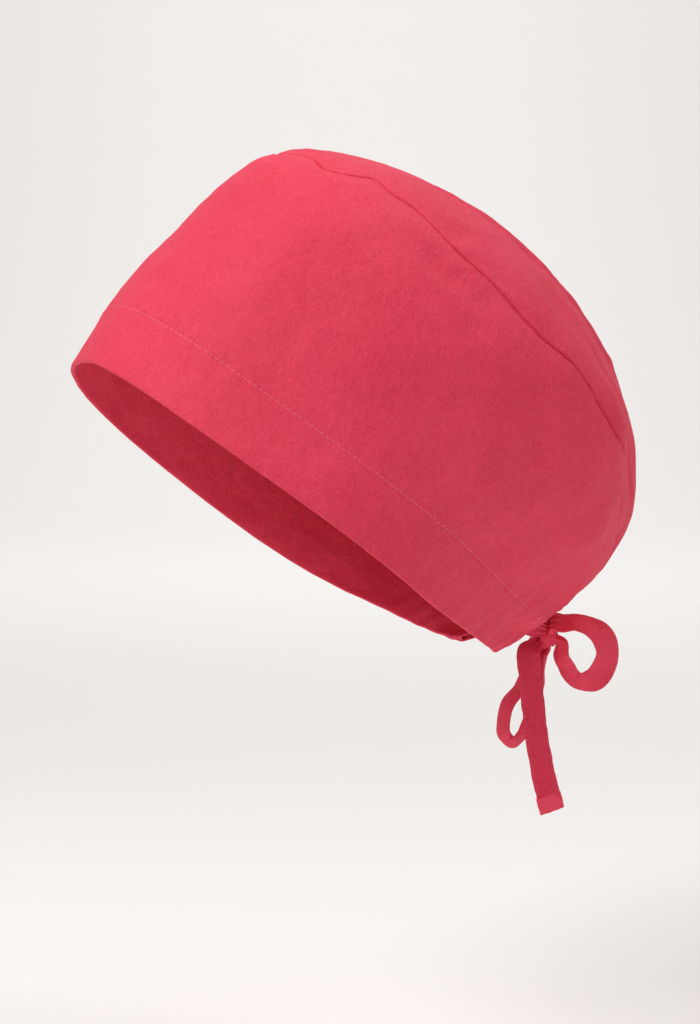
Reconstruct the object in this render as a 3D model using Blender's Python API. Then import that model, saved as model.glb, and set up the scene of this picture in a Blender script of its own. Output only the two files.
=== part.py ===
"""Scrub cap of cotton cloth with a drawstring tied in a bow at the nape.

The cap is built as it is sewn: a side panel that wraps the head from nape to nape, with its lower edge turned
in as a casing, an oval crown panel let into its top, and a flat tie that leaves the casing at the back.
Units are metres. Z is up, the wearer faces -Y and the wearer's left side is +X. The origin is the point
inside the crown where the top of the head bears on the cloth, straight above the middle of the hem.
"""

import math

import bmesh
import bpy
from mathutils import Vector

# Sizes of the cap, over the outside of the cloth
HEM_LENGTH = 0.2190
HEM_BREADTH = 0.1560
HEM_TILT = math.radians(36.0)
HEM_DIP = 0.0065
NAPE_LIFT = 0.0023
NAPE_LIFT_START = math.radians(108.0)
NAPE_LIFT_REACH = math.radians(32.0)
HEM_DEPTH = 0.0255
HEM_SEWN = 0.0020
CROWN_RISE = 0.1470
CLOTH = 0.0010
SEAM_GAP = 0.0003

# The casing is a flat channel that opens at both ends of the hem, where it is wide enough for the tie
CASING_SLOT = 0.0005
CASING_MOUTH = 0.0024
MOUTH_REACH = 0.0140

# The hem's two ends stand apart at the nape by these angles from the middle of the forehead
END_ANGLE_FOOT = math.radians(163.0)
END_ANGLE_STITCH = math.radians(170.0)
END_BULGE = math.radians(1.5)
CROWN_END_WAY = 0.135

# Shares that shape each ring: narrower at the forehead than behind, and fuller at the brow than an ellipse
EGG = 0.05
BROW = 0.05

# Gathers that the tie pulls into the nape, the folds of the crown panel behind, and the dip along the seam
GATHER_DEPTH = 0.0013
GATHER_START = 0.018
GATHER_REACH = 0.058
GATHER_COUNT = 8
FOLD_DEPTH = 0.0010
FOLD_COUNT = 5
SEAM_DIP = 0.0007
SEAM_DIP_REACH = 0.0045

# Soft dents in the side panel: angle from the middle of the forehead, way up, their sizes and their share of
# DENT_DEPTH
DENT_DEPTH = 0.0014
DENT_COLUMNS = ("angle", "way", "angle_size", "way_size", "depth")
DENTS = (
    (68.0, 0.500, 13.0, 0.030, 0.86),
    (108.0, 0.455, 9.0, 0.035, 1.00),
    (30.0, 0.330, 16.0, 0.090, 0.57),
)

# The tie, its knot and its bow
TIE_WIDTH = 0.0105
TIE_THICK = 0.0012
TIE_DRAWN_WIDTH = 0.0052
TIE_DRAWN_THICK = 0.0022
TIE_DRAWN_REACH = 0.0085
KNOT_BEHIND = 0.0240
KNOT_RISE = 0.0235
KNOT_ACROSS = 0.0130
KNOT_DEEP = 0.0088
KNOT_TALL = 0.0120
BOW_REACH = 0.0323
BOW_TURN = math.radians(66.0)
TAIL_HEM = 0.0075
TAIL_HEM_WIDTH = 0.0114
TAIL_HEM_THICK = 0.0022
TAIL_HEM_STEP = 0.0002
LOOP_STUB = 0.0022
TAIL_STUB = 0.0020
LEAD_TUCK = 0.0040
LEAD_WIDTH = 0.0060
LEAD_WAY = 0.093
CLEARANCE = 0.0003

# The tie's way from the casing's mouth towards the knot, in shares of LEAD_TUCK
LEAD_COLUMNS = ("onward", "behind")
LEAD_ROUTE = (
    (0.425, 0.075),
    (0.675, 0.500),
)

# How finely the cloth is divided
SIDE_COLUMNS = 76
HEM_ROWS = 4
FOLD_STEPS = 3
CROWN_END_COLUMNS = 3
LOOP_STEPS = 34
TAIL_STEPS = 16
LEAD_STEPS = 8
SIDE_ROW_SHARES = (0.13, 0.26, 0.39, 0.52, 0.65, 0.78, 0.89, 0.955, 1.0)
CROWN_ROW_SHARES = (0.0, 0.07, 0.20, 0.36, 0.52, 0.68, 0.84, 1.0)

# Rings of the cap, parallel to the hem, from its lower edge to the apex. Rise is a share of CROWN_RISE, front
# and back are shares of half HEM_LENGTH from the hem's middle, side is a share of half HEM_BREADTH, and drawn is
# how far the ring is drawn in towards the nape.
RING_COLUMNS = ("rise", "front", "back", "side", "drawn")
RINGS = (
    (0.000, 0.980, 1.045, 1.000, 0.36),
    (0.090, 0.980, 1.105, 1.000, 0.45),
    (0.180, 0.980, 1.165, 1.005, 0.50),
    (0.300, 0.970, 1.208, 1.045, 0.38),
    (0.430, 0.950, 1.220, 1.085, 0.20),
    (0.550, 0.925, 1.180, 1.090, 0.10),
    (0.660, 0.885, 1.090, 1.055, 0.07),
    (0.760, 0.825, 0.980, 0.970, 0.04),
    (0.845, 0.710, 0.820, 0.830, 0.02),
    (0.915, 0.520, 0.625, 0.640, 0.00),
    (0.965, 0.290, 0.420, 0.425, 0.00),
    (0.992, 0.050, 0.230, 0.195, 0.00),
    (1.000, -0.080, 0.080, 0.000, 0.00),
)

# The seam between the two panels: the angle from the middle of the forehead and the way up from hem to apex
SEAM_COLUMNS = ("angle", "way")
SEAM = (
    (0.0, 0.566),
    (12.0, 0.571),
    (20.0, 0.573),
    (30.0, 0.554),
    (36.0, 0.572),
    (41.0, 0.603),
    (48.0, 0.591),
    (57.0, 0.591),
    (69.0, 0.565),
    (80.0, 0.551),
    (94.0, 0.524),
    (108.0, 0.514),
    (120.0, 0.488),
    (129.0, 0.473),
    (138.0, 0.468),
    (143.5, 0.452),
    (146.5, 0.405),
    (150.0, 0.364),
    (157.0, 0.338),
    (162.0, 0.288),
    (166.0, 0.228),
    (170.0, 0.182),
    (180.0, 0.162),
)

# The spine of the crown panel, on which its rows close, in shares of the way from the apex to the hem
SPINE_FRONT = -0.22
SPINE_BACK = 0.74

# Ribbons of the bow. Out, up and near are shares of BOW_REACH from the knot's middle, seen along BOW_TURN, and
# the last three columns are the direction across the ribbon.
RIBBON_COLUMNS = ("out", "up", "near", "across_out", "across_up", "across_near")
LOOP_LEFT = (
    (0.18, 0.160, 0.22, 0.08, 0.70, -0.71),
    (0.36, 0.180, 0.25, 0.08, 0.56, -0.82),
    (0.53, 0.135, 0.28, 0.26, 0.62, -0.74),
    (0.69, 0.035, 0.30, 0.74, 0.58, -0.35),
    (0.783, -0.21, 0.28, 0.94, 0.12, -0.30),
    (0.735, -0.45, 0.22, 0.90, -0.34, -0.28),
    (0.63, -0.62, 0.15, 0.66, -0.66, -0.36),
    (0.47, -0.67, 0.06, 0.05, -0.72, -0.69),
    (0.36, -0.60, -0.01, -0.56, -0.44, -0.70),
    (0.27, -0.45, 0.02, -0.52, -0.30, -0.80),
    (0.20, -0.30, 0.08, -0.50, -0.30, -0.81),
)
LOOP_RIGHT = (
    (-0.05, -0.38, -0.26, -0.50, 0.10, 0.83),
    (-0.08, -0.56, -0.34, -0.52, 0.10, 0.82),
    (-0.09, -0.80, -0.41, -0.54, 0.10, 0.82),
    (-0.12, -1.04, -0.46, -0.55, 0.12, 0.82),
    (-0.20, -1.29, -0.49, -0.53, 0.20, 0.82),
    (-0.29, -1.50, -0.52, -0.38, 0.45, 0.80),
    (-0.42, -1.61, -0.55, 0.10, 0.60, 0.79),
    (-0.53, -1.51, -0.57, 0.42, 0.35, 0.84),
    (-0.55, -1.30, -0.57, 0.46, 0.00, 0.89),
    (-0.49, -1.07, -0.56, 0.42, -0.16, 0.89),
    (-0.35, -0.88, -0.54, 0.34, -0.17, 0.92),
    (-0.27, -0.70, -0.50, 0.30, -0.18, 0.93),
    (-0.23, -0.50, -0.43, 0.30, -0.20, 0.93),
)
TAIL_LEFT = (
    (-0.26, -0.24, 0.20, 0.92, 0.10, -0.10),
    (-0.26, -0.38, 0.22, 0.97, 0.03, -0.22),
    (-0.24, -0.57, 0.22, 0.97, 0.06, -0.25),
    (-0.22, -0.82, 0.21, 0.96, 0.12, -0.25),
    (-0.18, -1.07, 0.19, 0.96, 0.14, -0.25),
    (-0.15, -1.34, 0.17, 0.95, 0.16, -0.25),
    (-0.10, -1.61, 0.15, 0.95, 0.17, -0.24),
    (-0.05, -1.90, 0.13, 0.95, 0.20, -0.22),
    (0.02, -2.18, 0.11, 0.95, 0.22, -0.20),
    (0.08, -2.41, 0.10, 0.95, 0.26, -0.18),
)
TAIL_RIGHT = (
    (-0.15, -0.32, 0.00, 0.88, 0.10, 0.45),
    (-0.20, -0.54, -0.02, 0.90, 0.08, 0.42),
    (-0.19, -0.80, -0.04, 0.90, 0.10, 0.40),
    (-0.16, -1.10, -0.05, 0.90, 0.12, 0.38),
    (-0.13, -1.40, -0.06, 0.90, 0.14, 0.36),
    (-0.08, -1.70, -0.07, 0.88, 0.16, 0.40),
    (-0.02, -1.98, -0.08, 0.86, 0.18, 0.42),
    (0.03, -2.18, -0.09, 0.86, 0.20, 0.44),
)

# Where each ribbon leaves the knot, as a direction in the same frame
KNOT_EXITS = {
    "loop_left_top": (0.30, 0.66, 0.69),
    "loop_left_foot": (0.75, -0.48, 0.46),
    "loop_right_top": (-0.05, -0.80, -0.60),
    "loop_right_foot": (-0.45, -0.45, -0.77),
    "tail_left": (-0.58, -0.62, 0.52),
    "tail_right": (-0.20, -0.96, -0.18),
}

CLOTH_COLOURS = {
    "side_panel": (0.70, 0.10, 0.15),
    "crown_panel": (0.66, 0.09, 0.14),
    "tie": (0.62, 0.08, 0.12),
}


def named_rows(columns, rows):
    """Each row of a table as a dictionary."""
    return [dict(zip(columns, row)) for row in rows]


def hermite(keys, values, at):
    """A smooth curve through values at keys, read at one place."""
    last = len(keys) - 1
    i = max(0, min(last - 1, sum(1 for key in keys[1:] if key <= at)))
    span = keys[i + 1] - keys[i]

    def slope(k):
        low = max(k - 1, 0)
        high = min(k + 1, last)
        if low == k or high == k:
            return (values[high] - values[low]) / (keys[high] - keys[low])
        before = (values[k] - values[low]) / (keys[k] - keys[low])
        after = (values[high] - values[k]) / (keys[high] - keys[k])
        share = (keys[k] - keys[low]) / (keys[high] - keys[low])
        return before * (1 - share) + after * share

    t = (at - keys[i]) / span
    rise = t * t * (3 - 2 * t)
    start = t * (1 - t) * (1 - t)
    end = t * t * (t - 1)
    bends = span * (slope(i) * start + slope(i + 1) * end)
    return values[i] * (1 - rise) + values[i + 1] * rise + bends


def ease(value):
    """A smooth step from 0 to 1."""
    value = min(max(value, 0.0), 1.0)
    return value * value * (3 - 2 * value)


def ring_curves():
    """The rings' way from the hem to the apex, with the sizes in metres at each, mirrored past the apex."""
    rings = []
    for row in named_rows(RING_COLUMNS, RINGS):
        front = row["front"] * HEM_LENGTH / 2
        back = row["back"] * HEM_LENGTH / 2
        rings.append(
            {
                "rise": row["rise"] * CROWN_RISE,
                "centre": (back - front) / 2,
                "half": (back + front) / 2,
                "side": row["side"] * HEM_BREADTH / 2,
                "drawn": row["drawn"],
            }
        )
    way = [0.0]
    for low, high in zip(rings, rings[1:]):
        inward = (low["half"] + low["side"] - high["half"] - high["side"]) / 2
        way.append(way[-1] + math.hypot(high["rise"] - low["rise"], inward))
    total = way[-1]
    ghost = dict(rings[-2], half=-rings[-2]["half"], side=-rings[-2]["side"])
    ghost["centre"] = 2 * rings[-1]["centre"] - rings[-2]["centre"]
    rings.append(ghost)
    way.append(2 * total - way[-2])
    curves = {name: [ring[name] for ring in rings] for name in rings[0]}
    return [place / total for place in way], curves, total


RING_WAY, RING_SIZES, SIDE_LENGTH = ring_curves()
SEAM_ANGLES = [math.radians(row["angle"]) for row in named_rows(SEAM_COLUMNS, SEAM)]
SEAM_WAYS = [row["way"] for row in named_rows(SEAM_COLUMNS, SEAM)]
ALONG = Vector((0.0, math.cos(HEM_TILT), -math.sin(HEM_TILT)))
RISE = Vector((0.0, math.sin(HEM_TILT), math.cos(HEM_TILT)))
ACROSS = Vector((1.0, 0.0, 0.0))
STITCH_WAY = HEM_DEPTH / SIDE_LENGTH
SEWN_WAY = (HEM_DEPTH + HEM_SEWN) / SIDE_LENGTH


def seam_way(angle):
    """The way up to the seam at an angle."""
    return hermite(SEAM_ANGLES, SEAM_WAYS, abs(angle))


def plain_point(angle, way):
    """A point of the cap's outer skin before its gathers, from the middle of the hem."""
    sizes = {name: hermite(RING_WAY, values, way) for name, values in RING_SIZES.items()}
    cosine = math.cos(angle)
    sine = math.sin(angle)
    square = sine * sine
    fuller = 1 + (BROW * math.sin(2 * angle) ** 2 if cosine > 0 else 0.0)
    drawn = 1 - (sizes["drawn"] * cosine * cosine if cosine < 0 else 0.0)
    along = sizes["centre"] - sizes["half"] * cosine * fuller
    across = sizes["side"] * sine * fuller * (1 - EGG * cosine) * drawn
    dip = HEM_DIP * square * (2 - square) * (1 - 0.3 * cosine) * (1 - way * way)
    nape = ease((abs(angle) - NAPE_LIFT_START) / NAPE_LIFT_REACH) * (1 - ease(way / STITCH_WAY / 0.6))
    return along * ALONG + across * ACROSS + (sizes["rise"] - dip + NAPE_LIFT * nape) * RISE


def disc_point(back, left):
    """A point of the outer skin from its place in the disc whose middle is the apex."""
    ring = math.hypot(back, left)
    if ring < 1e-9:
        return 0.0, 1.0
    return math.atan2(left, -back), 1 - ring


def plain_normal(angle, way):
    """The outward direction of the plain skin, worked out in the disc so that it holds at the apex too."""
    ring = 1 - way
    back = -ring * math.cos(angle)
    left = ring * math.sin(angle)
    step = 0.004
    behind = plain_point(*disc_point(back + step, left)) - plain_point(*disc_point(back - step, left))
    beside = plain_point(*disc_point(back, left + step)) - plain_point(*disc_point(back, left - step))
    return beside.cross(behind).normalized()


def relief(angle, way, on_crown):
    """How far the cloth stands out from the plain skin: gathers, folds, dents and the dip at the seam."""
    point = plain_point(angle, way)
    away = point - knot_middle()
    above = (way - STITCH_WAY) * SIDE_LENGTH
    reach = away.length
    turn = math.atan2(above, abs(point.x))
    near = ease((reach - GATHER_START) / GATHER_START) * (1 - ease((reach - GATHER_START) / GATHER_REACH))
    if not on_crown:
        near *= ease((end_angle(way) - abs(angle)) * HEM_BREADTH / 2 / MOUTH_REACH)
    height = GATHER_DEPTH * near * math.cos(GATHER_COUNT * turn)
    if on_crown:
        ring = 1 - way
        back = -ring * math.cos(angle)
        across = ring * math.sin(angle)
        behind = ease((back - 0.10) / 0.35) * (1 - ease((back - 0.62) / 0.20))
        height += FOLD_DEPTH * behind * math.cos(2 * math.pi * FOLD_COUNT * across)
    else:
        degrees = abs(math.degrees(angle))
        for dent in named_rows(DENT_COLUMNS, DENTS):
            aside = (degrees - dent["angle"]) / dent["angle_size"]
            up = (way - dent["way"]) / dent["way_size"]
            height -= DENT_DEPTH * dent["depth"] * math.exp(-aside * aside - up * up)
    return height


def skin(angle, way, depth, on_crown=False, seam_distance=None):
    """A point of the cloth at a depth under its outer skin."""
    height = relief(angle, way, on_crown)
    if seam_distance is not None:
        height -= SEAM_DIP * math.exp(-((seam_distance / SEAM_DIP_REACH) ** 2))
    return plain_point(angle, way) + (height - depth) * plain_normal(angle, way)


def end_angle(way):
    """The angle at which the side panel ends at the nape."""
    share = min(max(way / STITCH_WAY, 0.0), 1.0)
    return END_ANGLE_FOOT + (END_ANGLE_STITCH - END_ANGLE_FOOT) * share + END_BULGE * math.sin(math.pi * share)


def column_share(column):
    """The place of a column of the side panel from nape to nape, closer together towards the nape."""
    even = 2 * column / SIDE_COLUMNS - 1
    return even + 0.10 * math.sin(math.pi * even)


def slot_width(angle, way):
    """The casing's inner width, which opens towards its mouths."""
    rest = (end_angle(way) - abs(angle)) * HEM_BREADTH / 2
    return CASING_SLOT + (CASING_MOUTH - CASING_SLOT) * (1 - ease(rest / MOUTH_REACH))


def seam_shift(angle, toward_crown, depth):
    """Half the seam's gap, square to the seam in the skin, towards the crown or away from it."""
    step = 0.01
    low = min(max(angle - step, -END_ANGLE_STITCH), END_ANGLE_STITCH)
    high = min(max(angle + step, -END_ANGLE_STITCH), END_ANGLE_STITCH)
    run = (plain_point(high, seam_way(high)) - plain_point(low, seam_way(low))).normalized()
    normal = plain_normal(angle, seam_way(angle))
    square = run.cross(normal).normalized()
    upward = plain_point(angle, seam_way(angle) + 0.01) - plain_point(angle, seam_way(angle))
    if square.dot(upward) < 0:
        square = -square
    return square * (SEAM_GAP / 2 if toward_crown else -SEAM_GAP / 2)


def side_panel_mesh():
    """The side panel as one closed body, with the channel of its casing open at both ends."""
    vertices = []
    faces = []
    hem_ways = [STITCH_WAY * k / HEM_ROWS for k in range(HEM_ROWS + 1)]
    outer_loops = []
    channel_loops = []
    for column in range(SIDE_COLUMNS + 1):
        share = column_share(column)
        top_angle = share * END_ANGLE_STITCH
        top_way = seam_way(top_angle)
        sewn_way = SEWN_WAY

        def at(way, depth, distance=None):
            return skin(share * end_angle(way), way, depth, False, distance)

        def inner_depth(way):
            return 2 * CLOTH + slot_width(share * end_angle(way), way)

        upper = [sewn_way + (top_way - sewn_way) * row for row in SIDE_ROW_SHARES]
        outward = [at(way, 0.0) for way in hem_ways] + [at(sewn_way, 0.0)]
        outward += [at(way, 0.0, (top_way - way) * SIDE_LENGTH) for way in upper]
        inward = [at(way, CLOTH, (top_way - way) * SIDE_LENGTH) for way in reversed(upper)]
        inward += [at(sewn_way, CLOTH)]
        layer = [at(way, inner_depth(way)) for way in [sewn_way] + hem_ways[::-1]]
        outward[-1] += seam_shift(top_angle, False, 0.0)
        inward[0] += seam_shift(top_angle, False, CLOTH)
        foot_out = outward[0]
        foot_in = layer[-1]
        middle = (foot_out + foot_in) / 2
        radius = (foot_out - foot_in) / 2
        down = -(at(hem_ways[1], 0.0) - foot_out).normalized() * radius.length
        fold = []
        for k in range(1, FOLD_STEPS + 1):
            turn = math.pi * k / (FOLD_STEPS + 1)
            fold.append(middle - radius * math.cos(turn) + down * math.sin(turn))
        outer_loops.append(outward + inward + layer + fold)
        channel = [at(way, CLOTH) for way in hem_ways]
        channel += [at(way, inner_depth(way) - CLOTH) for way in reversed(hem_ways)]
        channel_loops.append(channel)

    outer_size = len(outer_loops[0])
    channel_size = len(channel_loops[0])
    outer_start = []
    channel_start = []
    for outer, channel in zip(outer_loops, channel_loops):
        outer_start.append(len(vertices))
        vertices += outer
        channel_start.append(len(vertices))
        vertices += channel
    for column in range(SIDE_COLUMNS):
        for k in range(outer_size):
            after = (k + 1) % outer_size
            a, b = outer_start[column], outer_start[column + 1]
            faces.append((a + k, b + k, b + after, a + after))
        for k in range(channel_size):
            after = (k + 1) % channel_size
            a, b = channel_start[column], channel_start[column + 1]
            faces.append((a + k, a + after, b + after, b + k))

    rows = HEM_ROWS + 1
    sides = len(SIDE_ROW_SHARES)
    for column, flip in ((0, False), (SIDE_COLUMNS, True)):
        o = outer_start[column]
        c = channel_start[column]
        ends = []
        for k in range(HEM_ROWS):
            ends.append((o + k, o + k + 1, c + k + 1, c + k))
        outer_sewn = o + rows
        wall_top_in = outer_sewn + sides + 1
        wall_sewn_in = wall_top_in + sides
        layer_sewn = wall_sewn_in + 1
        layer_foot = layer_sewn + rows
        for k in range(HEM_ROWS):
            near = c + rows + k
            ends.append((near, near + 1, layer_sewn + 2 + k, layer_sewn + 1 + k))
        stitch_out = o + rows - 1
        stitch_wall = c + rows - 1
        stitch_layer = c + rows
        ends.append((stitch_out, outer_sewn, wall_sewn_in, stitch_wall))
        ends.append((stitch_wall, wall_sewn_in, layer_sewn, stitch_layer))
        ends.append((stitch_layer, layer_sewn, layer_sewn + 1))
        for k in range(sides):
            ends.append((outer_sewn + k, outer_sewn + k + 1, wall_sewn_in - k - 1, wall_sewn_in - k))
        folds = [layer_foot + 1 + k for k in range(FOLD_STEPS)]
        channel_out = c
        channel_in = c + channel_size - 1
        middle = FOLD_STEPS // 2
        chain = [layer_foot] + folds + [o]
        turn = middle + 1
        for k in range(turn):
            ends.append((chain[k], chain[k + 1], channel_in))
        for k in range(turn, len(chain) - 1):
            ends.append((chain[k], chain[k + 1], channel_out))
        ends.append((chain[turn], channel_out, channel_in))
        for face in ends:
            faces.append(face if flip else tuple(reversed(face)))
    return vertices, faces


def crown_outline():
    """The crown panel's edge in the disc, from the forehead's middle round the left side to the nape's middle."""
    edge = []
    for column in range(SIDE_COLUMNS // 2, SIDE_COLUMNS + 1):
        angle = column_share(column) * END_ANGLE_STITCH
        edge.append((angle, seam_way(angle), True))
    last_angle, last_way, _ = edge[-1]
    for k in range(1, CROWN_END_COLUMNS + 1):
        share = k / CROWN_END_COLUMNS
        angle = last_angle + (math.pi - last_angle) * share
        way = last_way + (CROWN_END_WAY - last_way) * ease(share * 1.5)
        edge.append((angle, way, False))
    return edge


def crown_panel_mesh():
    """The crown panel as one closed body, in rows that follow its edge in to its spine."""
    edge = crown_outline()
    loop = [(angle, way, seam, 1) for angle, way, seam in edge]
    loop += [(angle, way, seam, -1) for angle, way, seam in reversed(edge[1:-1])]
    vertices = []
    faces = []
    rows = len(CROWN_ROW_SHARES)
    for depth in (0.0, CLOTH):
        for angle, way, seam, hand in loop:
            ring = 1 - way
            back = -ring * math.cos(angle)
            left = ring * math.sin(angle) * hand
            spine = min(max(back, SPINE_FRONT), SPINE_BACK)
            breadth = math.hypot(back - spine, left) * SIDE_LENGTH * 0.9
            for share in CROWN_ROW_SHARES:
                here = disc_point(back + (spine - back) * share, left * (1 - share))
                distance = share * breadth if seam else None
                point = skin(here[0], here[1], depth, True, distance)
                if share == 0.0 and seam:
                    point += seam_shift(angle * hand, True, depth)
                vertices.append(point)
    count = len(loop)
    inner = count * rows
    for k in range(count):
        after = (k + 1) % count
        for row in range(rows - 1):
            a = k * rows + row
            b = after * rows + row
            faces.append((a, b, b + 1, a + 1))
            faces.append((inner + a, inner + a + 1, inner + b + 1, inner + b))
        faces.append((k * rows, inner + k * rows, inner + after * rows, after * rows))
    return vertices, faces


def bow_directions():
    """The bow's own frame: out to the back and left, up, and near, on the wearer's left."""
    out = Vector((math.cos(BOW_TURN), math.sin(BOW_TURN), 0.0))
    near = Vector((math.sin(BOW_TURN), -math.cos(BOW_TURN), 0.0))
    return out, Vector((0.0, 0.0, 1.0)), near


def knot_middle():
    """The knot's middle, from the middle of the hem."""
    return (HEM_LENGTH / 2 + KNOT_BEHIND) * ALONG + KNOT_RISE * RISE


def knot_exit(name):
    """The place and the direction in which a ribbon leaves the knot."""
    return knot_exit_towards(sum((a * b for a, b in zip(KNOT_EXITS[name], bow_directions())), Vector()))


def knot_exit_towards(direction):
    """The place and the outward direction of the knot's skin on one side of it."""
    halves = (KNOT_ACROSS / 2, KNOT_DEEP / 2, KNOT_TALL / 2)
    unit = direction.normalized()
    scale = 1 / math.sqrt(sum((unit[k] / halves[k]) ** 2 for k in range(3)))
    place = unit * scale
    normal = Vector([place[k] / halves[k] ** 2 for k in range(3)]).normalized()
    return knot_middle() + place + normal * CLEARANCE, normal


def knot_mesh():
    """The knot: a small cushion with the turns of the tie pressed into it."""
    rings = 12
    around = 20
    middle = knot_middle()
    vertices = [middle + Vector((0.0, 0.0, KNOT_TALL / 2))]
    for ring in range(1, rings):
        lean = math.pi * ring / rings
        for k in range(around):
            turn = 2 * math.pi * k / around
            press = 1 - 0.10 * (1 + math.cos(4 * lean + 1.5 * math.cos(turn))) * math.sin(lean) / 2
            vertices.append(
                middle
                + Vector(
                    (
                        press * math.sin(lean) * math.cos(turn) * KNOT_ACROSS / 2,
                        press * math.sin(lean) * math.sin(turn) * KNOT_DEEP / 2,
                        math.cos(lean) * KNOT_TALL / 2,
                    )
                )
            )
    vertices.append(middle - Vector((0.0, 0.0, KNOT_TALL / 2)))
    last = len(vertices) - 1
    faces = []
    for k in range(around):
        after = (k + 1) % around
        faces.append((0, 1 + k, 1 + after))
        faces.append((last, last - around + after, last - around + k))
        for ring in range(rings - 2):
            a = 1 + ring * around
            faces.append((a + k, a + around + k, a + around + after, a + after))
    return vertices, faces


def section_faces(count):
    """The faces of a body that runs through a row of four-cornered sections."""
    faces = []
    for k in range(count - 1):
        for corner in range(4):
            after = (corner + 1) % 4
            faces.append((4 * k + corner, 4 * k + after, 4 * k + 4 + after, 4 * k + 4 + corner))
    faces.append((3, 2, 1, 0))
    end = 4 * (count - 1)
    faces.append((end, end + 1, end + 2, end + 3))
    return faces


def ribbon_mesh(points, crossings, steps, drawn_start, drawn_end, turned_end):
    """A flat ribbon along a smooth path, drawn in where it meets the knot and turned up at a free end."""
    lengths = [0.0]
    for before, after in zip(points, points[1:]):
        lengths.append(lengths[-1] + (after - before).length)
    total = lengths[-1]
    reach = min(TIE_DRAWN_REACH, total * 0.45)
    places = [total * k / steps for k in range(steps + 1)]
    if turned_end:
        places = [place for place in places if place < total - TAIL_HEM - 5 * TAIL_HEM_STEP]
        places += [total - TAIL_HEM - TAIL_HEM_STEP, total - TAIL_HEM, total - TAIL_HEM / 2, total]

    def path(at):
        return Vector([hermite(lengths, [p[k] for p in points], at) for k in range(3)])

    vertices = []
    for place in places:
        here = path(place)
        ahead = path(min(place + 0.0004, total)) - path(max(place - 0.0004, 0.0))
        ahead.normalize()
        across = Vector([hermite(lengths, [c[k] for c in crossings], place) for k in range(3)])
        across = (across - ahead * across.dot(ahead)).normalized()
        face = ahead.cross(across).normalized()
        drawn = 0.0
        if drawn_start:
            drawn = max(drawn, 1 - ease(place / reach))
        if drawn_end:
            drawn = max(drawn, 1 - ease((total - place) / reach))
        width = TIE_WIDTH + (TIE_DRAWN_WIDTH - TIE_WIDTH) * drawn
        thick = TIE_THICK + (TIE_DRAWN_THICK - TIE_THICK) * drawn
        if turned_end and place > total - TAIL_HEM - 1e-6:
            width = TAIL_HEM_WIDTH
            thick = TAIL_HEM_THICK
        for side, depth in ((-1, -1), (1, -1), (1, 1), (-1, 1)):
            vertices.append(here + across * side * width / 2 + face * depth * thick / 2)
    return vertices, section_faces(len(places))


def ribbon_path(table):
    """A table's places and crossings in the part's directions."""
    frame = bow_directions()
    points = []
    crossings = []
    for row in named_rows(RIBBON_COLUMNS, table):
        shares = (row["out"], row["up"], row["near"])
        points.append(knot_middle() + sum((d * s * BOW_REACH for d, s in zip(frame, shares)), Vector()))
        shares = (row["across_out"], row["across_up"], row["across_near"])
        crossings.append(sum((d * s for d, s in zip(frame, shares)), Vector()))
    return points, crossings


def loop_mesh(table, first, last):
    """A loop of the bow, from the knot and back to it."""
    points, crossings = ribbon_path(table)
    start, away = knot_exit(first)
    finish, back = knot_exit(last)
    points = [start, start + away * LOOP_STUB] + points + [finish + back * LOOP_STUB, finish]
    crossings = [crossings[0]] * 2 + crossings + [crossings[-1]] * 2
    return ribbon_mesh(points, crossings, LOOP_STEPS, True, True, False)


def tail_mesh(table, first):
    """A hanging end of the tie, with its end turned up and sewn."""
    points, crossings = ribbon_path(table)
    start, away = knot_exit(first)
    points = [start, start + away * TAIL_STUB] + points
    crossings = [crossings[0]] * 2 + crossings
    return ribbon_mesh(points, crossings, TAIL_STEPS, True, False, True)


def lead_mesh(hand):
    """The tie's way out of the casing to the knot, on one side. In the casing it follows the cloth."""
    mouth = end_angle(LEAD_WAY)
    inside = mouth - LEAD_TUCK / (HEM_BREADTH / 2)
    reach = LEAD_WIDTH / 2 / SIDE_LENGTH
    tucked = []
    middles = []
    for angle in (inside, (inside + mouth) / 2, mouth):
        depth = CLOTH + slot_width(angle, LEAD_WAY) / 2
        for up, out in ((-1, -hand), (1, -hand), (1, hand), (-1, hand)):
            tucked.append(skin(hand * angle, LEAD_WAY + up * reach, depth - out * TIE_THICK / 2))
        middles.append(skin(hand * angle, LEAD_WAY, depth))
    across = (tucked[-3] - tucked[-4]).normalized()
    finish, away = knot_exit_towards(Vector((hand * 0.80, -0.70, 0.40)))
    onward = (middles[-1] - middles[0]).normalized()
    points = [middles[-1]]
    for bend in named_rows(LEAD_COLUMNS, LEAD_ROUTE):
        points.append(middles[-1] + (onward * bend["onward"] + ALONG * bend["behind"]) * LEAD_TUCK)
    points += [finish + away * TAIL_STUB, finish]
    upright = (RISE + Vector((0.0, 0.0, 0.4))).normalized()
    crossings = [across, across, upright, upright, upright]
    free = ribbon_mesh(points, crossings, LEAD_STEPS, False, True, False)[0]
    shrink = LEAD_WIDTH / TIE_WIDTH
    vertices = list(tucked)
    for k in range(4, len(free), 4):
        section = free[k : k + 4]
        middle = sum(section, Vector()) / 4
        side = (section[1] - section[0]).normalized()
        for corner in section:
            offset = corner - middle
            vertices.append(corner - side * offset.dot(side) * (1 - shrink))
    return vertices, section_faces(len(vertices) // 4)


def seat_height():
    """How high the crown's inside stands, straight above the middle of the hem."""
    best = None
    for k in range(400):
        for angle in (0.0, math.pi):
            point = skin(angle, 0.5 + 0.5 * k / 400, CLOTH, True)
            if best is None or abs(point.y) < abs(best.y):
                best = point
    return best.z


def clear_scene():
    """Empties the scene."""
    for item in list(bpy.data.objects):
        bpy.data.objects.remove(item, do_unlink=True)


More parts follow.
